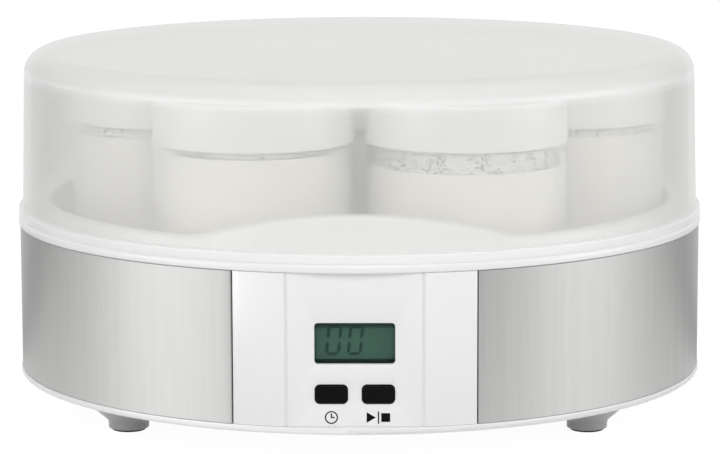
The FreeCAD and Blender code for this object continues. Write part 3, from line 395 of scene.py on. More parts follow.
def makeYogurt():
    material, tree, shader = newFinish("setYogurt", Specular_IOR_Level=0.35, Diffuse_Roughness=1.0)
    place = objectPlace(tree)
    cloud = noise(tree, place, Scale=38.0, Detail=5.0, Roughness=0.6, Distortion=0.6)
    curd = noise(tree, place, Scale=420.0, Detail=3.0)
    tone = blended(tree, mapped(tree, cloud, -0.3, 1.2), (0.945, 0.915, 0.868), (0.92, 0.883, 0.826))
    feed(shader, Base_Color=tone, Roughness=mapped(tree, curd, 0.35, 0.6))
    bumped(tree, shader, curd, strength=0.15, depth=0.2)
    return material


steelBand = {
    "radius": 124.5, "sheet": 0.5, "hemDepth": 3.5, "foldBend": 0.53, "foldSteps": 6, "openHalf": 19.407,
    "low": 14.6, "high": 66.8, "edgeBend": 0.12, "steps": 260, "inletHeight": 27.1, "inletRadius": 5.6,
    "inletSteps": 72, "drillMiddle": 124.0, "drillDepth": 20.0, "scratchSquash": 0.012, "paintedFootSheen": 1.06,
    "paintedTopShade": 0.93,
}


def makeBrushedSteel():
    size = steelBand
    material, tree, shader = newFinish("brushedSteel", Metallic=1.0)
    parts = axesOf(tree, objectPlace(tree))
    around = calc(tree, "MULTIPLY", calc(tree, "ARCTAN2", parts["X"], parts["Y"]), size["radius"] * mm)
    upward = calc(tree, "MULTIPLY", parts["Z"], size["scratchSquash"])  # scratches are long upwards
    unrolled = addNode(tree, "ShaderNodeCombineXYZ", X=around, Z=upward).outputs[0]
    useEffect(tree, shader, brushLines, strength=0.12, depth=0.03, Place=unrolled,
              Tone=(0.42, 0.42, 0.415, 1), Shade=(0.36, 0.36, 0.355, 1), Smooth=0.38, Rough=0.46)
    sheenScaled = addNode(tree, "ShaderNodeVectorMath", {"operation": "SCALE"})  # painted sheen: a little paler towards the foot and darker towards the top
    feedInOrder(sheenScaled, shader.inputs["Base Color"].links[0].from_socket)
    paintedSheen = mapped(tree, parts["Z"], size["paintedFootSheen"], size["paintedTopShade"], size["low"] * mm, size["high"] * mm)
    feed(sheenScaled, Scale=paintedSheen)
    feed(shader, Base_Color=sheenScaled.outputs[0])
    return material


def makeRolledMetal(name, tone, shade, smooth, rough):
    material, tree, shader = newFinish(name, Metallic=1.0)
    stretch = addNode(tree, "ShaderNodeMapping", Vector=objectPlace(tree), Scale=(0.02, 1.0, 1.0))
    useEffect(tree, shader, brushLines, strength=0.1, depth=0.03, Place=stretch.outputs[0], Tone=(*tone, 1),
              Shade=(*shade, 1), Smooth=smooth, Rough=rough)
    return material


display = {
    "windowHeight": 14.0, "digitWidth": 5.05, "digitHeight": 10.3, "rise": 0.62, "stroke": 1.1, "gap": 0.16,
    "waistGap": 0.32, "slant": 0.1, "thick": 0.03, "sunk": 0.005, "digitLefts": (-10.1, -2.85),
    # painted shadow bands under the window's top and bottom edges
    "shadowBands": ((1, 1.4, 2.8, 0.32), (-1, 0.9, 1.7, 0.0)),  # side, dark to, clear from, least tone
    "shadowTone": (0.008, 0.026, 0.019),
}


def makeDisplayGlass():
    material, tree, shader = newFinish("displayGlass", Roughness=0.12, Specular_IOR_Level=0.1)
    place = objectPlace(tree)
    cells = noise(tree, place, Scale=160.0, Detail=2.0)
    rise = axesOf(tree, place)["Z"]
    low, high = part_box("lcd_glass")
    middle, half = (low.z + high.z) / 2, display["windowHeight"] * mm / 2
    paintedShadows = []  # painted shadow along the top and the bottom, where the window's edges shade the display
    for side, edge, clear, least in display["shadowBands"]:
        start, end = (middle + side * (half - inset * mm) for inset in (edge, clear))
        paintedShadows.append(mapped(tree, rise, least, 1.0, start, end, smooth=True))
    tone = blended(tree, cells, (0.052, 0.117, 0.090), (0.058, 0.125, 0.097))
    feed(shader, Base_Color=blended(tree, calc(tree, "MINIMUM", *paintedShadows), display["shadowTone"], tone))
    return material


def makeDisplayInk():
    material, tree, shader = newFinish("displayInk", Specular_IOR_Level=0.1)
    speck = noise(tree, objectPlace(tree), Scale=900.0, Detail=2.0)
    tone = blended(tree, speck, (0.016, 0.047, 0.040), (0.020, 0.053, 0.044))
    feed(shader, Base_Color=tone, Roughness=mapped(tree, speck, 0.4, 0.6))
    return material


def makeClear(name, tone, bend, smooth=0.0, rough=0.03, lit=0.05, scale=120.0, detail=3.0):
    material, tree, shader = newFinish(name, Base_Color=(*tone, 1), Transmission_Weight=1.0, IOR=bend)
    wave = noise(tree, objectPlace(tree), Scale=scale, Detail=detail)
    feed(shader, Roughness=mapped(tree, wave, smooth, rough))
    thinnedForLight(tree, shader, 1.0, lit)
    return material, tree, shader, wave


def makeJarGlass():
    tone = (0.95, 0.98, 0.96)
    material, tree, shader, wave = makeClear("jarGlass", tone, bend=1.5, lit=0.06, scale=45.0, detail=2.0)
    bumped(tree, shader, wave, strength=0.04, depth=0.4)
    return material


mist = {
    "patchScale": 230.0, "speckScale": 1150.0, "gather": (0.40, 0.58), "largest": 0.5, "glintFrom": 0.62,
    "dark": (0.10, 0.11, 0.10), "bright": (0.98, 0.98, 0.97), "cover": (0.8, 0.92), "lit": 0.1,
}


def makeFogFilm():
    # fine mist inside the glass; where it has run into beads, dark specks are painted shade and bright ones
    # painted glints
    material, tree, shader = mouldedFinish(
        "fogFilm", (0.97, 0.965, 0.94), (0.93, 0.925, 0.90), 0.5, 0.7, 900, 0.1, Specular_IOR_Level=0.1)
    place = objectPlace(tree)
    patch = noise(tree, place, Scale=mist["patchScale"], Detail=3.0, Roughness=0.6)
    speck = addNode(tree, "ShaderNodeTexVoronoi", Vector=place, Scale=mist["speckScale"]).outputs
    reach = mapped(tree, patch, 0.0, mist["largest"], *mist["gather"])  # specks gather in patches
    bead = calc(tree, "LESS_THAN", speck["Distance"], reach)
    chance = addNode(tree, "ShaderNodeSeparateColor", Color=speck["Color"]).outputs[0]
    light = calc(tree, "GREATER_THAN", chance, mist["glintFrom"])
    # painted shade in the dark specks, painted glints in the bright ones
    overlaid(tree, shader, bead, blended(tree, light, mist["dark"], mist["bright"]))
    thinnedForLight(tree, shader, mapped(tree, bead, *mist["cover"]), mist["lit"])
    return material


def makeCircuitBoard():
    material, tree, shader = newFinish("circuitBoard", Specular_IOR_Level=0.4)
    place = objectPlace(tree)
    tracks = addNode(
        tree, "ShaderNodeTexBrick", Vector=place, Scale=160.0, Color1=(0.03, 0.20, 0.08, 1),
        Color2=(0.04, 0.24, 0.10, 1), Mortar=(0.10, 0.34, 0.16, 1)).outputs
    fleck = noise(tree, place, Scale=700.0, Detail=2.0)
    feed(shader, Base_Color=tracks["Color"], Roughness=mapped(tree, fleck, 0.3, 0.5))
    bumped(tree, shader, tracks["Fac"], strength=0.2, depth=0.1)
    return material


mouldings = {  # name, tone, shade, smooth and rough limits, grain scale, bump
    "white_plastic": ("whitePlastic", *whiteMoulding),
    "black_plastic": ("blackPlastic", (0.003, 0.003, 0.003), (0.006, 0.006, 0.006), 0.16, 0.26, 700, 0.05),
    "grey_plastic": ("greyPlastic", (0.54, 0.54, 0.545), (0.51, 0.51, 0.515), 0.30, 0.48, 650, 0.12),
    "blue_plastic": ("bluePlastic", (0.05, 0.12, 0.35), (0.04, 0.09, 0.28), 0.35, 0.5, 650, 0.1),
    "rubber": ("footRubber", (0.055, 0.055, 0.057), (0.035, 0.035, 0.036), 0.55, 0.75, 500, 0.3),
    "silicone": ("leadSilicone", (0.70, 0.68, 0.64), (0.62, 0.60, 0.56), 0.45, 0.6, 500, 0.2),
}
dullness = {"black_plastic": {"Specular_IOR_Level": 0.05}, "rubber": {"Specular_IOR_Level": 0.25}}
finishes = {slot: mouldedFinish(*row, **dullness.get(slot, {}))[0] for slot, row in mouldings.items()}
finishes.update({
    "cap_plastic": makeCapPlastic(),
    "lid_plastic": makeLidPlastic(),
    "jar_glass": makeJarGlass(),
    "yogurt": makeYogurt(),
    "steel": makeBrushedSteel(),
    "aluminium": makeRolledMetal("rolledAluminium", (0.78, 0.78, 0.79), (0.66, 0.66, 0.67), 0.28, 0.45),
    "screw_steel": makeRolledMetal("screwSteel", (0.62, 0.62, 0.63), (0.50, 0.50, 0.52), 0.2, 0.35),
    "clear_plastic": makeClear("clearWindow", (0.92, 0.95, 0.93), bend=1.12, smooth=0.02, rough=0.06)[0],
    "lcd": makeDisplayGlass(),
    "circuit_board": makeCircuitBoard(),
})
panelFinish = makePanelPlastic()
displayInk = makeDisplayInk()
dropFinish = makeClear("dropWater", (0.97, 0.98, 0.98), bend=1.33)[0]
fogFinish = makeFogFilm()
for nodeName, nodeObject in nodes.items():
    nodeObject.data.materials.clear()
    nodeObject.data.materials.append(finishes[slotOf[nodeName]])
print(f"finishes: {len(finishes)} for the record's slots")

# ways to make a mesh


def roundedLine(corners, size, arcSteps=6):
    # corners are (radius, height, bend) in millimetres, as numbers or as names in the dictionary size
    corners = [[size[value] if isinstance(value, str) else value for value in corner] for corner in corners]
    line = []
    for i, (r, z, bend) in enumerate(corners):  # a bend of 0 keeps the corner sharp
        corner = Vector((r, z))
        if not bend:
            line.append((r, z))
            continue
        back = (Vector(corners[i - 1][:2]) - corner).normalized()
        ahead = (Vector(corners[(i + 1) % len(corners)][:2]) - corner).normalized()
        half = back.angle(ahead) / 2
        middle = corner + (back + ahead).normalized() * (bend / math.sin(half))
        first = corner + back * (bend / math.tan(half)) - middle
        last = corner + ahead * (bend / math.tan(half)) - middle
        sweep = math.atan2(first.x * last.y - first.y * last.x, first.dot(last))
        for step in range(arcSteps + 1):
            turn = sweep * step / arcSteps
            line.append((middle.x + first.x * math.cos(turn) - first.y * math.sin(turn),
                         middle.y + first.x * math.sin(turn) + first.y * math.cos(turn)))
    return line


def fullTurn(steps):
    return [math.tau * i / steps for i in range(steps)]


def ringedFaces(shape, rings, closed, lastCap=True):
    # joins rings of corners to faces; a corner shared by all rings is a pole
    count = len(rings[0])
    pairs = list(zip(rings, rings[1:]))
    if closed:
        pairs.append((rings[-1], rings[0]))
    for here, there in pairs:
        for k in range(count):
            after = (k + 1) % count
            corners = list(dict.fromkeys([here[k], here[after], there[after], there[k]]))
            if len(corners) > 2:
                shape.faces.new(corners)
    if not closed:
        shape.faces.new(rings[0])
    if not closed and lastCap:
        shape.faces.new(list(reversed(rings[-1])))


def onRing(angle, r):
    # angle 0 is in front
    return Vector((r * math.sin(angle), -r * math.cos(angle)))


def addCorner(shape, x, y, z):
    return shape.verts.new((x * mm, y * mm, z * mm))


def plainMesh(name, shape):
    mesh = bpy.data.meshes.new(name)
    shape.to_mesh(mesh)
    shape.free()
    return mesh


def turnedOutward(shape):
    if shape.calc_volume(signed=True) < 0:
        bmesh.ops.reverse_faces(shape, faces=shape.faces)


def mended(shape):
    # merges doubled corners, then turns the faces outwards
    bmesh.ops.remove_doubles(shape, verts=shape.verts, dist=tiny)
    bmesh.ops.recalc_face_normals(shape, faces=shape.faces)


def joinShape(shape, piece):
    turnedOutward(piece)
    spare = plainMesh("spare", piece)
    shape.from_mesh(spare)
    bpy.data.meshes.remove(spare)


def centreOf(node):
    low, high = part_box(node)
    return (low + high) / 2 / mm


def evaluatedMesh(host):
    bpy.context.view_layer.update()
    return bpy.data.meshes.new_from_object(host.evaluated_get(bpy.context.evaluated_depsgraph_get()))


def grownMesh(name, mesh, tree, **values):
    # runs a tree on a mesh and hands back a plain mesh
    host = newObject(name, mesh)
    modifier = host.modifiers.new("grown", "NODES")
    modifier.node_group = tree
    for item in tree.interface.items_tree:
        if item.in_out == "INPUT" and item.name in values:
            modifier[item.identifier] = values[item.name]
    made = evaluatedMesh(host)
    host.modifiers.remove(modifier)
    bpy.data.objects.remove(host)
    return made


def makeTurningTree():
    # spins an outline about an upright axis, closes its seam and poles
    inputs = {
        "Outline": "Geometry", "Corners": "Int", "Steps": "Int", "Centre": "Vector", "Finish": "Material"}
    tree, given, made = newGroup("turnOutline", "Geometry", inputs, {"Geometry": "Geometry"})
    corners, steps = given["Corners"], given["Steps"]
    across, around = calc(tree, "ADD", corners, 1), calc(tree, "ADD", steps, 1)
    sheet = addNode(tree, "GeometryNodeMeshGrid", Vertices_X=around, Vertices_Y=across)
    index = addNode(tree, "GeometryNodeInputIndex").outputs[0]
    step = calc(tree, "FLOOR", calc(tree, "DIVIDE", calc(tree, "ADD", index, 0.5), across))
    along = calc(tree, "SUBTRACT", index, calc(tree, "MULTIPLY", step, across))
    corner = calc(tree, "MODULO", along, corners)
    place = addNode(tree, "GeometryNodeInputPosition").outputs[0]
    pick = addNode(tree, "GeometryNodeSampleIndex", {"data_type": "FLOAT_VECTOR"}, Geometry=given["Outline"],
                   Value=place, Index=corner)
    angle = calc(tree, "MULTIPLY", calc(tree, "DIVIDE", step, steps), math.tau)
    turn = addNode(tree, "ShaderNodeVectorRotate", {"rotation_type": "Z_AXIS"}, Vector=pick.outputs[0],
                   Angle=angle)
    shift = addNode(tree, "ShaderNodeVectorMath", {"operation": "ADD"})
    feedInOrder(shift, turn.outputs[0], given["Centre"])
    bend = addNode(tree, "GeometryNodeSetPosition", Geometry=sheet.outputs["Mesh"], Position=shift.outputs[0])
    weld = addNode(tree, "GeometryNodeMergeByDistance", Geometry=bend.outputs[0], Distance=tiny)
    real = addNode(tree, "GeometryNodeRealizeInstances", Geometry=weld.outputs[0])
    paint = addNode(tree, "GeometryNodeSetMaterial", Geometry=real.outputs[0], Material=given["Finish"])
    feedInOrder(made, paint.outputs[0])
    return tree


turningTree = makeTurningTree()


def turned(line, steps, centre, finish):
    # line is a closed outline of (radius, height) in millimetres
    mesh = bpy.data.meshes.new("outline")
    mesh.from_pydata([(0, -r * mm, z * mm) for r, z in line], [], [])
    spun = grownMesh("outline", mesh, turningTree, Corners=len(line), Steps=steps,
                     Centre=(centre[0] * mm, centre[1] * mm, 0), Finish=finish)
    shape = bmesh.new()
    shape.from_mesh(spun)
    bpy.data.meshes.remove(spun)
    return shape


creaseAngle = 40  # in degrees; a fold past it stays sharp


def sharpened(mesh, angle):
    mesh.polygons.foreach_set("use_smooth", [True] * len(mesh.polygons))
    mesh.set_sharp_from_angle(angle=math.radians(angle))
    mesh.update()


def finishedMesh(name, shape, angle=creaseAngle):
    turnedOutward(shape)
    mesh = plainMesh(name, shape)
    sharpened(mesh, angle)
    return mesh


def newPiece(name, mesh, finish, body, slot, *stoodFor):
    mesh.materials.clear()
    mesh.materials.append(finish)
    piece = newObject(name, mesh)
    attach(piece, body)
    if stoodFor:
        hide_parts(*stoodFor)
    return piece


def standFor(node, shape, angle=creaseAngle):
    # a piece that takes the place and body of one node, and its slot's finish
    slot = slotOf[node]
    mesh = finishedMesh(f"{node}_look", shape, angle)
    return newPiece(f"{node}_look", mesh, finishes[slot], bodyOf[node], slot, node)


def standTurned(node, line, steps, centre=(0, 0)):
    return standFor(node, turned(line, steps, centre, finishes[slotOf[node]]))


easing = {"merge": 2e-6, "flatAngle": 0.6, "hardAngle": 30.0, "segments": 2, "sharpAngle": 30}


def softenedCopy(node, edge):
    # the node's own mesh, merged, with its hard edges eased
    shape = bmesh.new()
    shape.from_mesh(nodes[node].data)
    bmesh.ops.remove_doubles(shape, verts=shape.verts, dist=easing["merge"])
    bmesh.ops.dissolve_degenerate(shape, edges=shape.edges, dist=tiny)
    flat, least = math.radians(easing["flatAngle"]), math.radians(easing["hardAngle"])
    bmesh.ops.dissolve_limit(
        shape, angle_limit=flat, verts=shape.verts, edges=shape.edges, delimit=set())
    hard = [e for e in shape.edges if e.is_manifold and e.calc_face_angle(0) > least]
    bmesh.ops.bevel(
        shape, geom=hard, offset=edge * mm, offset_type="OFFSET", segments=easing["segments"], profile=0.5,
        affect="EDGES", clamp_overlap=True)
    return shape


# base: tub with its rim, collar and crest

tub = {
    "floorTop": 40.0, "floorUnder": 38.0, "wellRadius": 112.0, "wellMouth": 113.6, "wellCorner": 3.0,
    "flatFace": 102.17, "flatCosine": 0.5, "wall": 2.2, "collarRadius": 119.6, "collarTop": 76.1,
    "collarBend": 1.5, "innerBend": 0.8, "rimRadius": 125.0, "rimTop": 69.9, "rimBottom": 66.9,
    "rimBend": 1.2, "rimFoot": 0.6, "rimCorner": 0.3, "crestHeight": 9.2, "crestArc": 158.0,
    "crestEndArc": 30.0, "crestRidge": 113.0, "crestBack": 1.6, "deckSteps": 9, "deckGap": 0.1,
    "liftFrom": 1.0, "liftEase": 3.4,
    "pillarRadius": 4.5, "pillarHole": 1.45, "pillarBottom": 14.5, "pillarSteps": 32, "spigotBore": 119.2,
    "steps": 150, "frontEdge": 33.0,
}


def crestLift(x):
    # a long arc over the middle that runs out to the collar through hollow arcs
    high, arc, end = tub["crestHeight"], tub["crestArc"], tub["crestEndArc"]
    reach = arc + end
    foot = math.sqrt(2 * reach * high - high * high)
    x = abs(x)
    if x >= foot:
        return 0.0
    if x <= foot * arc / reach:
        return high - arc + math.sqrt(arc * arc - x * x)
    return end - math.sqrt(end * end - (foot - x) ** 2)


def deckLift(r, angle):
    # how far the deck at this radius rises above the collar
    size = tub
    front = math.cos(angle)
    if front <= 0:
        return 0.0
    rise = (size["crestHeight"] - size["crestBack"]) / (size["crestRidge"] - size["flatFace"])
    slope = size["crestBack"] + (r * front - size["flatFace"]) * rise  # falls back to the flat face
    return min(crestLift(r * math.sin(angle)), max(slope, 0.0))


def tubLine(angle):
    size = tub
    low, mouth = size["wellRadius"], size["wellMouth"]
    if math.cos(angle) > size["flatCosine"]:  # the well is flat in front
        flat = size["flatFace"] / math.cos(angle)
        low, mouth = min(low, flat), min(mouth, flat)
    wall, collar, top, rim = size["wall"], size["collarRadius"], size["collarTop"], size["rimTop"]
    near, far = mouth + 2 * size["innerBend"], collar - size["collarBend"] - size["deckGap"]
    deck = [(near + (far - near) * i / size["deckSteps"], top, 0) for i in range(size["deckSteps"] + 1)]
    line = roundedLine([
        (0, "floorTop", 0), (low, "floorTop", "wellCorner"), (mouth, top, "innerBend"), *deck,
        (collar, top, "collarBend"), (collar, rim, "rimCorner"), ("rimRadius", rim, "rimBend"),
        ("rimRadius", "rimBottom", "rimFoot"), ("spigotBore", "rimBottom", 0), ("spigotBore", rim - wall, 0),
        (collar - wall, rim - wall, 0), (collar - wall, top - wall, 0), (mouth + wall, top - wall, 0),
        (low + wall, "floorUnder", 0), (0, "floorUnder", 0),
    ], size)
    raised = []
    for r, z in line:
        above = z - rim - size["liftFrom"]
        if above > 0 and r <= collar + tiny:
            z += deckLift(r, angle) * min(1.0, above / (top - rim - size["liftEase"]))
        raised.append((r, z))
    return raised


def makeTub():
    size = tub
    edge, steps = math.radians(size["frontEdge"]), size["steps"]
    angles = [-edge + 2 * edge * i / steps for i in range(steps)]  # finer in front, where angle 0 is
    angles += [edge + (math.tau - 2 * edge) * i / steps for i in range(steps)]
    shape = bmesh.new()
    rings = []
    for angle in angles:
        ring = []
        for k, (r, z) in enumerate(tubLine(angle)):
            shared = r < tiny and rings  # all rings meet in the middle
            ring.append(rings[0][k] if shared else addCorner(shape, *onRing(angle, r), z))
        rings.append(ring)
    ringedFaces(shape, rings, True)
    turnedOutward(shape)
    radii, heights = (size["pillarHole"], size["pillarRadius"]), (size["pillarBottom"], size["floorUnder"])
    line = [(radii[0], heights[0]), (radii[1], heights[0]), (radii[1], heights[1]), (radii[0], heights[1])]
    for place in footPlaces:
        middle = centreOf(f"foot_{place}")
        joinShape(shape, turned(line, size["pillarSteps"], middle, finishes["white_plastic"]))
    standFor("tub", shape)


makeTub()

# base: steel band, panel, cover, feet


def makeSteelBand():
    size = steelBand
    half = size["sheet"] / 2
    mid = size["radius"] - half
    start = math.radians(size["openHalf"]) + half / mid
    bend = size["foldBend"] - half

    def hem(side):
        toward = start * side
        outward, along = onRing(toward, 1), Vector((math.cos(toward), math.sin(toward))) * side
        rows = [(onRing(toward, r), -along) for r in (size["radius"] - size["hemDepth"], mid - bend)]
        pivot = onRing(toward, mid - bend) + along * bend
        for step in range(1, size["foldSteps"] + 1):
            turn = math.pi / 2 * step / size["foldSteps"]
            direction = -along * math.cos(turn) + outward * math.sin(turn)
            rows.append((pivot + direction * bend, direction))
        return rows

    path = hem(1)  # (place, outward direction) along the middle of the sheet, from hem to hem
    first, last = start + bend / mid, math.tau - start - bend / mid
    for step in range(1, size["steps"]):
        angle = first + (last - first) * step / size["steps"]
        path.append((onRing(angle, mid), onRing(angle, 1)))
    path += reversed(hem(-1))
    ease, low, high = size["edgeBend"], size["low"], size["high"]
    section = [(half, low + ease), (half, high - ease), (half - ease, high), (-half + ease, high),
               (-half, high - ease), (-half, low + ease), (-half + ease, low), (half - ease, low)]
    shape = bmesh.new()
    rings = []
    for place, outward in path:
        rings.append([addCorner(shape, *(place + outward * off), z) for off, z in section])
    ringedFaces(shape, rings, False)
    mended(shape)
    band = newObject("steelSheet", finishedMesh("steelSheet", shape))
    drill = bmesh.new()
    spot = Matrix.Translation((0, size["drillMiddle"] * mm, size["inletHeight"] * mm))
    turn = Matrix.Rotation(math.pi / 2, 4, "X") @ Matrix.Rotation(math.pi / size["inletSteps"], 4, "Z")
    bmesh.ops.create_cone(
        drill, cap_ends=True, segments=size["inletSteps"], radius1=size["inletRadius"] * mm,
        radius2=size["inletRadius"] * mm, depth=size["drillDepth"] * mm, matrix=spot @ turn)
    drillObject = newObject("inletDrill", plainMesh("inletDrill", drill))
    cut = band.modifiers.new("inlet", "BOOLEAN")
    cut.object, cut.operation, cut.solver = drillObject, "DIFFERENCE", "EXACT"
    pierced = evaluatedMesh(band)
    bpy.data.objects.remove(band)
    bpy.data.objects.remove(drillObject)
    sharpened(pierced, creaseAngle)
    newPiece("steel_wrap_look", pierced, finishes["steel"], bodyOf["steel_wrap"], "steel", "steel_wrap")


makeSteelBand()

panelEase = {
    "front_panel": 0.3, "bottom_cover": 0.25, "cord_gland": 0.3, "lcd_window": 0.15, "lcd_glass": 0.15,
}
for nodeName, ease in panelEase.items():
    eased = standFor(nodeName, softenedCopy(nodeName, ease), easing["sharpAngle"])
    if nodeName == "front_panel":
        eased.data.materials[0] = panelFinish

foot = {
    "stemRadius": 7.15, "stemTop": 3.5, "flareRadius": 17.0, "flareBend": 0.2, "padProud": 0.8,
    "padBore": 6.1, "padSeat": 1.8, "headBore": 3.6, "floor": 5.6, "shankBore": 1.8, "top": 12.2,
    "waistBend": 2.5, "heelBend": 0.5, "padRadius": 6.0, "padBend": 0.4, "padTopBend": 0.1,
    "padGroove": 0.35, "padGrooves": (1.7, 3.4), "padGrooveHalf": 0.35, "steps": 72, "padSteps": 48,
}


def makeFeet():
    size = foot
    footLine = roundedLine([
        ("padBore", "padProud", 0), ("stemRadius", "padProud", "heelBend"),
        ("stemRadius", "stemTop", "waistBend"), ("flareRadius", "top", "flareBend"), ("shankBore", "top", 0),
        ("shankBore", "floor", 0), ("headBore", "floor", 0), ("headBore", "padSeat", 0),
        ("padBore", "padSeat", 0),
    ], size)
    padLine = [(0, 0)]
    half, deep = size["padGrooveHalf"], size["padGroove"]
    for groove in size["padGrooves"]:  # turned grooves in the rubber grip
        for off, z in ((-half, 0), (-half / 2, deep), (half / 2, deep), (half, 0)):
            padLine.append((groove + off, z))
    padLine += roundedLine([
        (0, 0, 0), ("padRadius", 0, "padBend"), ("padRadius", "padSeat", "padTopBend"), (0, "padSeat", 0),
    ], size)[1:]
    pads = bmesh.new()
    for place in footPlaces:
        middle = centreOf(f"foot_{place}")
        standTurned(f"foot_{place}", footLine, size["steps"], middle)
        joinShape(pads, turned(padLine, size["padSteps"], middle, finishes["rubber"]))
    standFor("foot_pads", pads)


makeFeet()
print("base: tub, steel band, panel, cover and feet")

# panel: buttons, digits and printed signs

button = {
    "width": 10.8, "height": 6.3, "corner": 1.6, "cornerSteps": 8, "flange": 0.9, "flangeThick": 1.0,
    "edge": 0.6, "edgeSteps": 6, "leastCorner": 0.3, "dome": 0.25, "rings": 6, "sharpAngle": 35,
}


def roundedBox(width, height, corner):
    # outline about the middle, counted round from the right
    points = []
    steps = button["cornerSteps"]
    for quarter, (sx, sz) in enumerate(((1, 1), (-1, 1), (-1, -1), (1, -1))):
        for step in range(steps + 1):
            turn = math.pi / 2 * (quarter + step / steps)
            points.append((sx * (width / 2 - corner) + corner * math.cos(turn),
                           sz * (height / 2 - corner) + corner * math.sin(turn)))
    return points


def makeButton(node):
    size = button
    low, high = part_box(node)
    middle, front, back = centreOf(node), low.y / mm, high.y / mm
    shape = bmesh.new()
    rings = []

    def addRing(inset, corner, y, share=1.0):
        width, height = ((size[key] - 2 * inset) * share for key in ("width", "height"))
        outline = roundedBox(width, height, corner)
        rings.append([addCorner(shape, middle.x + x, y, middle.z + z) for x, z in outline])

    corner, edge, dome = size["corner"], size["edge"], size["dome"]
    flangeFront = back - size["flangeThick"]
    addRing(-size["flange"], corner, back)
    addRing(-size["flange"], corner, flangeFront)
    addRing(0, corner, flangeFront)
    for step in range(size["edgeSteps"] + 1):
        turn = math.pi / 2 * step / size["edgeSteps"]
        inset = edge * (1 - math.cos(turn))
        addRing(inset, max(corner - inset, size["leastCorner"]), front + dome + edge * (1 - math.sin(turn)))
    for step in range(1, size["rings"]):
        share = 1 - step / size["rings"]
        addRing(edge, (corner - edge) * share, front + dome * share * share, share)
    rings.append([addCorner(shape, middle.x, front, middle.z)] * len(rings[0]))
    ringedFaces(shape, rings, False, lastCap=False)
    mended(shape)
    standFor(node, shape, size["sharpAngle"])


makeButton("time_button")
makeButton("start_button")


def flatPlate(shape, outline, y, thick):
    # a thin plate that faces the front; outline is (x, z) in millimetres
    rings = [[addCorner(shape, x, depth, z) for x, z in outline] for depth in (y - thick, y)]
    ringedFaces(shape, rings, False)


def makeDigits():
    size = display
    low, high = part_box("lcd_glass")
    face, middle = low.y / mm, (low.z + high.z) / 2 / mm + size["rise"]
    wide, tall, half = size["digitWidth"], size["digitHeight"], size["stroke"] / 2
    right, top = wide - half, tall - half
    under, over = tall / 2 - size["waistGap"], tall / 2 + size["waistGap"]
    ends = [((half, top), (right, top)), ((right, over), (right, top)), ((right, half), (right, under)),
            ((half, half), (right, half)), ((half, half), (half, under)), ((half, over), (half, top))]
    shape = bmesh.new()
    for left in size["digitLefts"]:
        for start, end in ends:  # all but the middle stroke, for a nought
            start, end = Vector(start), Vector(end)
            along = (end - start).normalized()
            across = Vector((-along.y, along.x)) * half
            start, end = start + along * size["gap"], end - along * size["gap"]
            inset = along * half
            corners = [start, start + inset + across, end - inset + across, end,
                       end - inset - across, start + inset - across]
            outline = [(left + p.x + size["slant"] * p.y, middle - tall / 2 + p.y) for p in corners]
            flatPlate(shape, outline, face - size["sunk"], size["thick"])
    bmesh.ops.recalc_face_normals(shape, faces=shape.faces)
    newPiece("display_digits", finishedMesh("display_digits", shape), displayInk, "base", "lcd")


makeDigits()

signs = {
    "face": -122.36, "sunk": 0.005, "centreRise": 17.8, "thick": 0.04, "line": 0.42, "clockRadius": 2.2,
    "clockSteps": 48, "handTail": 0.15, "longHand": 1.35, "shortHand": 1.05, "playHeight": 3.6,
    "playShare": 0.85, "stopSide": 3.0, "barGap": 0.9, "barEnd": 0.3,
}


def makeSigns():
    size = signs
    shape = bmesh.new()
    rise, line, thick = size["centreRise"], size["line"], size["thick"]
    back = size["face"] + size["sunk"]

    def plate(x, outline):
        flatPlate(shape, [(x + across, rise + up) for across, up in outline], back, thick)

    def bar(x, x0, z0, x1, z1):
        along = Vector((x1 - x0, z1 - z0)).normalized()
        dx, dz = -along.y * line / 2, along.x * line / 2
        plate(x, [(x0 - dx, z0 - dz), (x1 - dx, z1 - dz), (x1 + dx, z1 + dz), (x0 + dx, z0 + dz)])

    clockX, startX = centreOf("time_button").x, centreOf("start_button").x
    outer, inner = size["clockRadius"], size["clockRadius"] - line
    section = [(outer, back), (outer, back - thick), (inner, back - thick), (inner, back)]
    rings = []
    for turn in fullTurn(size["clockSteps"]):
        right, up = math.cos(turn), math.sin(turn)
        rings.append([addCorner(shape, clockX + r * right, y, rise + r * up) for r, y in section])
    ringedFaces(shape, rings, True)
    tail, half, gap, side = size["handTail"], size["playHeight"] / 2, size["barGap"], size["stopSide"]
    bar(clockX, 0, -tail, 0, size["longHand"])
    bar(clockX, -tail, 0, size["shortHand"], 0)
    playBack, barHalf = -gap - size["playHeight"] * size["playShare"], half + size["barEnd"]
    plate(startX, [(playBack, -half), (-gap, 0), (playBack, half)])
    bar(startX, 0, -barHalf, 0, barHalf)
    plate(startX, [(gap, -side / 2), (gap + side, -side / 2), (gap + side, side / 2), (gap, side / 2)])
    bmesh.ops.recalc_face_normals(shape, faces=shape.faces)
    mesh = finishedMesh("panel_signs", shape)
    newPiece("panel_signs", mesh, finishes["black_plastic"], "base", "black_plastic")


makeSigns()
print("panel: buttons, display digits and signs")

# lid


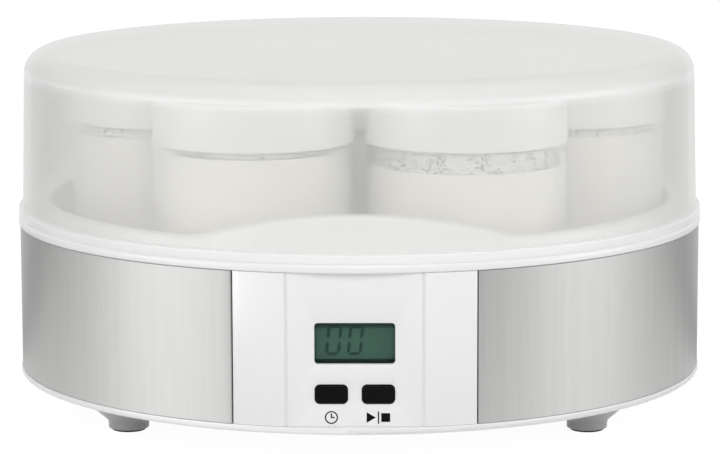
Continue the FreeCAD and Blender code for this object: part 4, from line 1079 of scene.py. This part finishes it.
def makeLid():
    size = lid
    topRadius, topBore = size["radius"] - size["draft"], size["bore"] - size["draft"]
    ceiling = size["edge"] - size["wall"]

    def crowned(reach, edge):
        # shallow dome from the shoulder to the middle
        shares = [step / size["crownSteps"] for step in range(1, size["crownSteps"] + 1)]
        return [(reach * (1 - share), edge + size["crown"] * (1 - (1 - share) ** 2)) for share in shares]

    outside = roundedLine([
        ("bore", "foot", "flangeFoot"), ("flangeRadius", "foot", "flangeFoot"),
        ("flangeRadius", "flangeTop", "flangeBend"), ("radius", "flangeTop", "wallFoot"),
        (topRadius, "edge", "shoulder"), (0, size["edge"] + size["lift"], 0),
    ], size, size["arcSteps"])[:-1]
    inside = roundedLine([
        (0, ceiling + size["lift"], 0), (topBore, ceiling, size["shoulder"] - size["wall"]),
        ("bore", "foot", 0),
    ], size, size["arcSteps"])[1:-1]
    line = outside + crowned(*outside[-1]) + list(reversed(crowned(*inside[0]))) + inside
    standTurned("lid", line, size["steps"])


makeLid()
print("lid: flange, wall and crown")

# jars, yogurt, caps and the drops on the glass

jar = {
    "bodyRadius": 34.8, "bore": 32.0, "base": 4.2, "heel": 4.0, "height": 77.6, "shoulder": 61.75,
    "shoulderBend": 1.6, "neckFoot": 63.75, "neckBend": 0.8, "neckRadius": 33.1, "beadRadius": 33.55,
    "beadHeight": 72.6, "beadHalf": 1.0, "beadFoot": 0.3, "beadBend": 0.4, "mouth": 30.3, "lipBend": 1.2,
    "boreBend": 1.0, "push": 0.35, "pushRise": 0.4, "pushRadius": 20.0, "pushBend": 2.0, "ringInset": 6.5,
    "ringBend": 1.0, "contact": 0.04, "shrunk": {"front_right": 0.9, "front_left": 0.7}, "steps": 144,
}
filling = {"rimWidth": 0.9, "rimDrop": 0.45, "rimBend": 0.4, "middleDrop": 0.5, "steps": 112}
cap = {
    "radius": 35.2, "bottom": 63.5, "draft": 0.3, "top": 79.2, "ceiling": 77.6, "bore": 33.9, "bend": 1.2,
    "plugRadius": 29.8, "plugBore": 28.8, "plugEnd": 74.6, "dish": 0.3, "dishEdge": 30.7, "dishSlope": 0.8,
    "dishBend": 0.6, "footBend": 0.35, "skirtBend": 0.2, "innerBend": 0.3, "steps": 128,
}


def fillTop(place):
    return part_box(f"yogurt_{place}")[1].z / mm - jar["shrunk"].get(place, 0)


def standHeight(place):
    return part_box(f"jar_{place}")[0].z / mm


def makeJar(place):
    size = jar
    centre, stand = centreOf(f"jar_{place}"), standHeight(place)

    def lifted(line):
        return [(r, z + stand) for r, z in line]

    bead, half = size["beadHeight"], size["beadHalf"]
    line = [(0, size["push"] + size["pushRise"])] + roundedLine([
        (0, 0, 0), ("pushRadius", "push", "pushBend"),
        (size["bodyRadius"] - size["ringInset"], 0, "ringBend"), ("bodyRadius", 0, "heel"),
        ("bodyRadius", "shoulder", "shoulderBend"),
        ("neckRadius", "neckFoot", "neckBend"), ("neckRadius", bead - half, "beadFoot"),
        ("beadRadius", bead, "beadBend"), ("neckRadius", bead + half, "beadFoot"),
        ("neckRadius", "height", "lipBend"), ("mouth", "height", "lipBend"),
        ("mouth", "neckFoot", "boreBend"), ("bore", "shoulder", "boreBend"), ("bore", "base", "heel"),
        (0, "base", 0),
    ], size)[1:]
    standTurned(f"jar_{place}", lifted(line), size["steps"], centre)

    fill = fillTop(place) - stand
    reach, bottom = size["bore"] + size["contact"], size["base"] - size["contact"]
    fillLine = roundedLine([
        (0, bottom, 0), (reach, bottom, size["heel"]), (reach, fill, 0),
        (reach - filling["rimWidth"], fill - filling["rimDrop"], "rimBend"),
        (0, fill - filling["middleDrop"], 0),
    ], filling)
    standTurned(f"yogurt_{place}", lifted(fillLine), filling["steps"], centre)

    size = cap
    dish = size["top"] - size["dish"]
    capLine = roundedLine([
        ("bore", "bottom", "skirtBend"), ("radius", "bottom", "footBend"),
        (size["radius"] - size["draft"], "top", "bend"), ("dishEdge", "top", "dishBend"),
        (size["dishEdge"] - size["dishSlope"], dish, "dishBend"), (0, dish, 0), (0, "ceiling", 0),
        ("plugBore", "ceiling", "innerBend"), ("plugBore", "plugEnd", "innerBend"),
        ("plugRadius", "plugEnd", "innerBend"), ("plugRadius", "ceiling", "innerBend"),
        ("bore", "ceiling", "innerBend"),
    ], size)
    standTurned(f"jar_cap_{place}", lifted(capLine), size["steps"], centre)


for jarPlace in jarPlaces:
    makeJar(jarPlace)
print(f"jars: {len(jarPlaces)} with caps and yogurt")

fog = {"off": 0.4, "thick": 0.06, "above": 0.05, "top": 66.0, "steps": 96}


def makeFog(place):
    stand, fill = standHeight(place), fillTop(place)
    wide, narrow = jar["bore"] - fog["off"], jar["mouth"] - fog["off"]
    wall = [(wide, fill + fog["above"]), (wide, stand + jar["shoulder"]), (narrow, stand + jar["neckFoot"]),
            (narrow, stand + fog["top"])]
    line = wall + [(r - fog["thick"], z) for r, z in reversed(wall)]
    shape = turned(line, fog["steps"], centreOf(f"jar_{place}"), fogFinish)
    newPiece(f"jar_{place}_fog", finishedMesh("fog", shape), fogFinish, f"jar_{place}", "jar_glass")


for jarPlace in jarPlaces:
    makeFog(jarPlace)
print(f"mist: a ring inside each of {len(jarPlaces)} jars")

drops = {
    "front_right": {"density": 900000.0, "size": 0.45, "seed": 4},
    "left": {"density": 600000.0, "size": 0.36, "seed": 7},
    "front_left": {"density": 350000.0, "size": 0.30, "seed": 11},
    "right": {"density": 350000.0, "size": 0.30, "seed": 15},
}
dropShape = {
    "flatness": 0.5, "smallest": 0.25, "bandGap": 0.35, "underCap": 2.1, "off": 0.12, "steps": 96,
    "segments": 8, "rings": 5,
}


def makeDropTree():
    inputs = {"Geometry": "Geometry", "Density": "Float", "Size": "Float", "Seed": "Int"}
    tree, given, made = newGroup("scatterDrops", "Geometry", inputs, {"Geometry": "Geometry"})
    scatter = addNode(tree, "GeometryNodeDistributePointsOnFaces", Mesh=given["Geometry"],
                      Density=given["Density"], Seed=given["Seed"])
    ball = addNode(tree, "GeometryNodeMeshUVSphere", Segments=dropShape["segments"], Rings=dropShape["rings"],
                   Radius=given["Size"])
    spread = addNode(tree, "FunctionNodeRandomValue", Seed=given["Seed"])
    least, most = spread.inputs[2:4]  # of a number
    least.default_value, most.default_value = dropShape["smallest"], 1.0
    share = spread.outputs[1]
    flat = calc(tree, "MULTIPLY", share, dropShape["flatness"])
    scale = addNode(tree, "ShaderNodeCombineXYZ", X=share, Y=share, Z=flat)
    put = addNode(tree, "GeometryNodeInstanceOnPoints", Points=scatter.outputs["Points"],
                  Instance=ball.outputs["Mesh"], Rotation=scatter.outputs["Rotation"], Scale=scale.outputs[0])
    real = addNode(tree, "GeometryNodeRealizeInstances", Geometry=put.outputs[0])
    smooth = addNode(tree, "GeometryNodeSetShadeSmooth", Geometry=real.outputs[0])
    paint = addNode(tree, "GeometryNodeSetMaterial", Geometry=smooth.outputs[0], Material=dropFinish)
    feedInOrder(made, paint.outputs[0])
    return tree


def makeDrops(tree, place, setup):
    middle = centreOf(f"yogurt_{place}")
    foot = fillTop(place) + dropShape["bandGap"]
    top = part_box(f"jar_cap_{place}")[0].z / mm - dropShape["underCap"]
    r = jar["bore"] - dropShape["off"]
    shape = bmesh.new()
    rings = []
    for angle in fullTurn(dropShape["steps"]):
        x, y = middle.x + r * math.sin(angle), middle.y - r * math.cos(angle)
        rings.append([addCorner(shape, x, y, z) for z in (foot, top)])
    for here, there in zip(rings, rings[1:] + rings[:1]):
        shape.faces.new([here[0], here[1], there[1], there[0]])
    made = grownMesh("dropBand", plainMesh("dropBand", shape), tree, Density=setup["density"],
                     Size=setup["size"] * mm, Seed=setup["seed"])
    newPiece(f"jar_{place}_drops", made, dropFinish, f"jar_{place}", "jar_glass")
    print(f"drops: {len(made.polygons)} faces on jar {place}")


dropTree = makeDropTree()
for jarPlace, dropSetup in drops.items():
    makeDrops(dropTree, jarPlace, dropSetup)
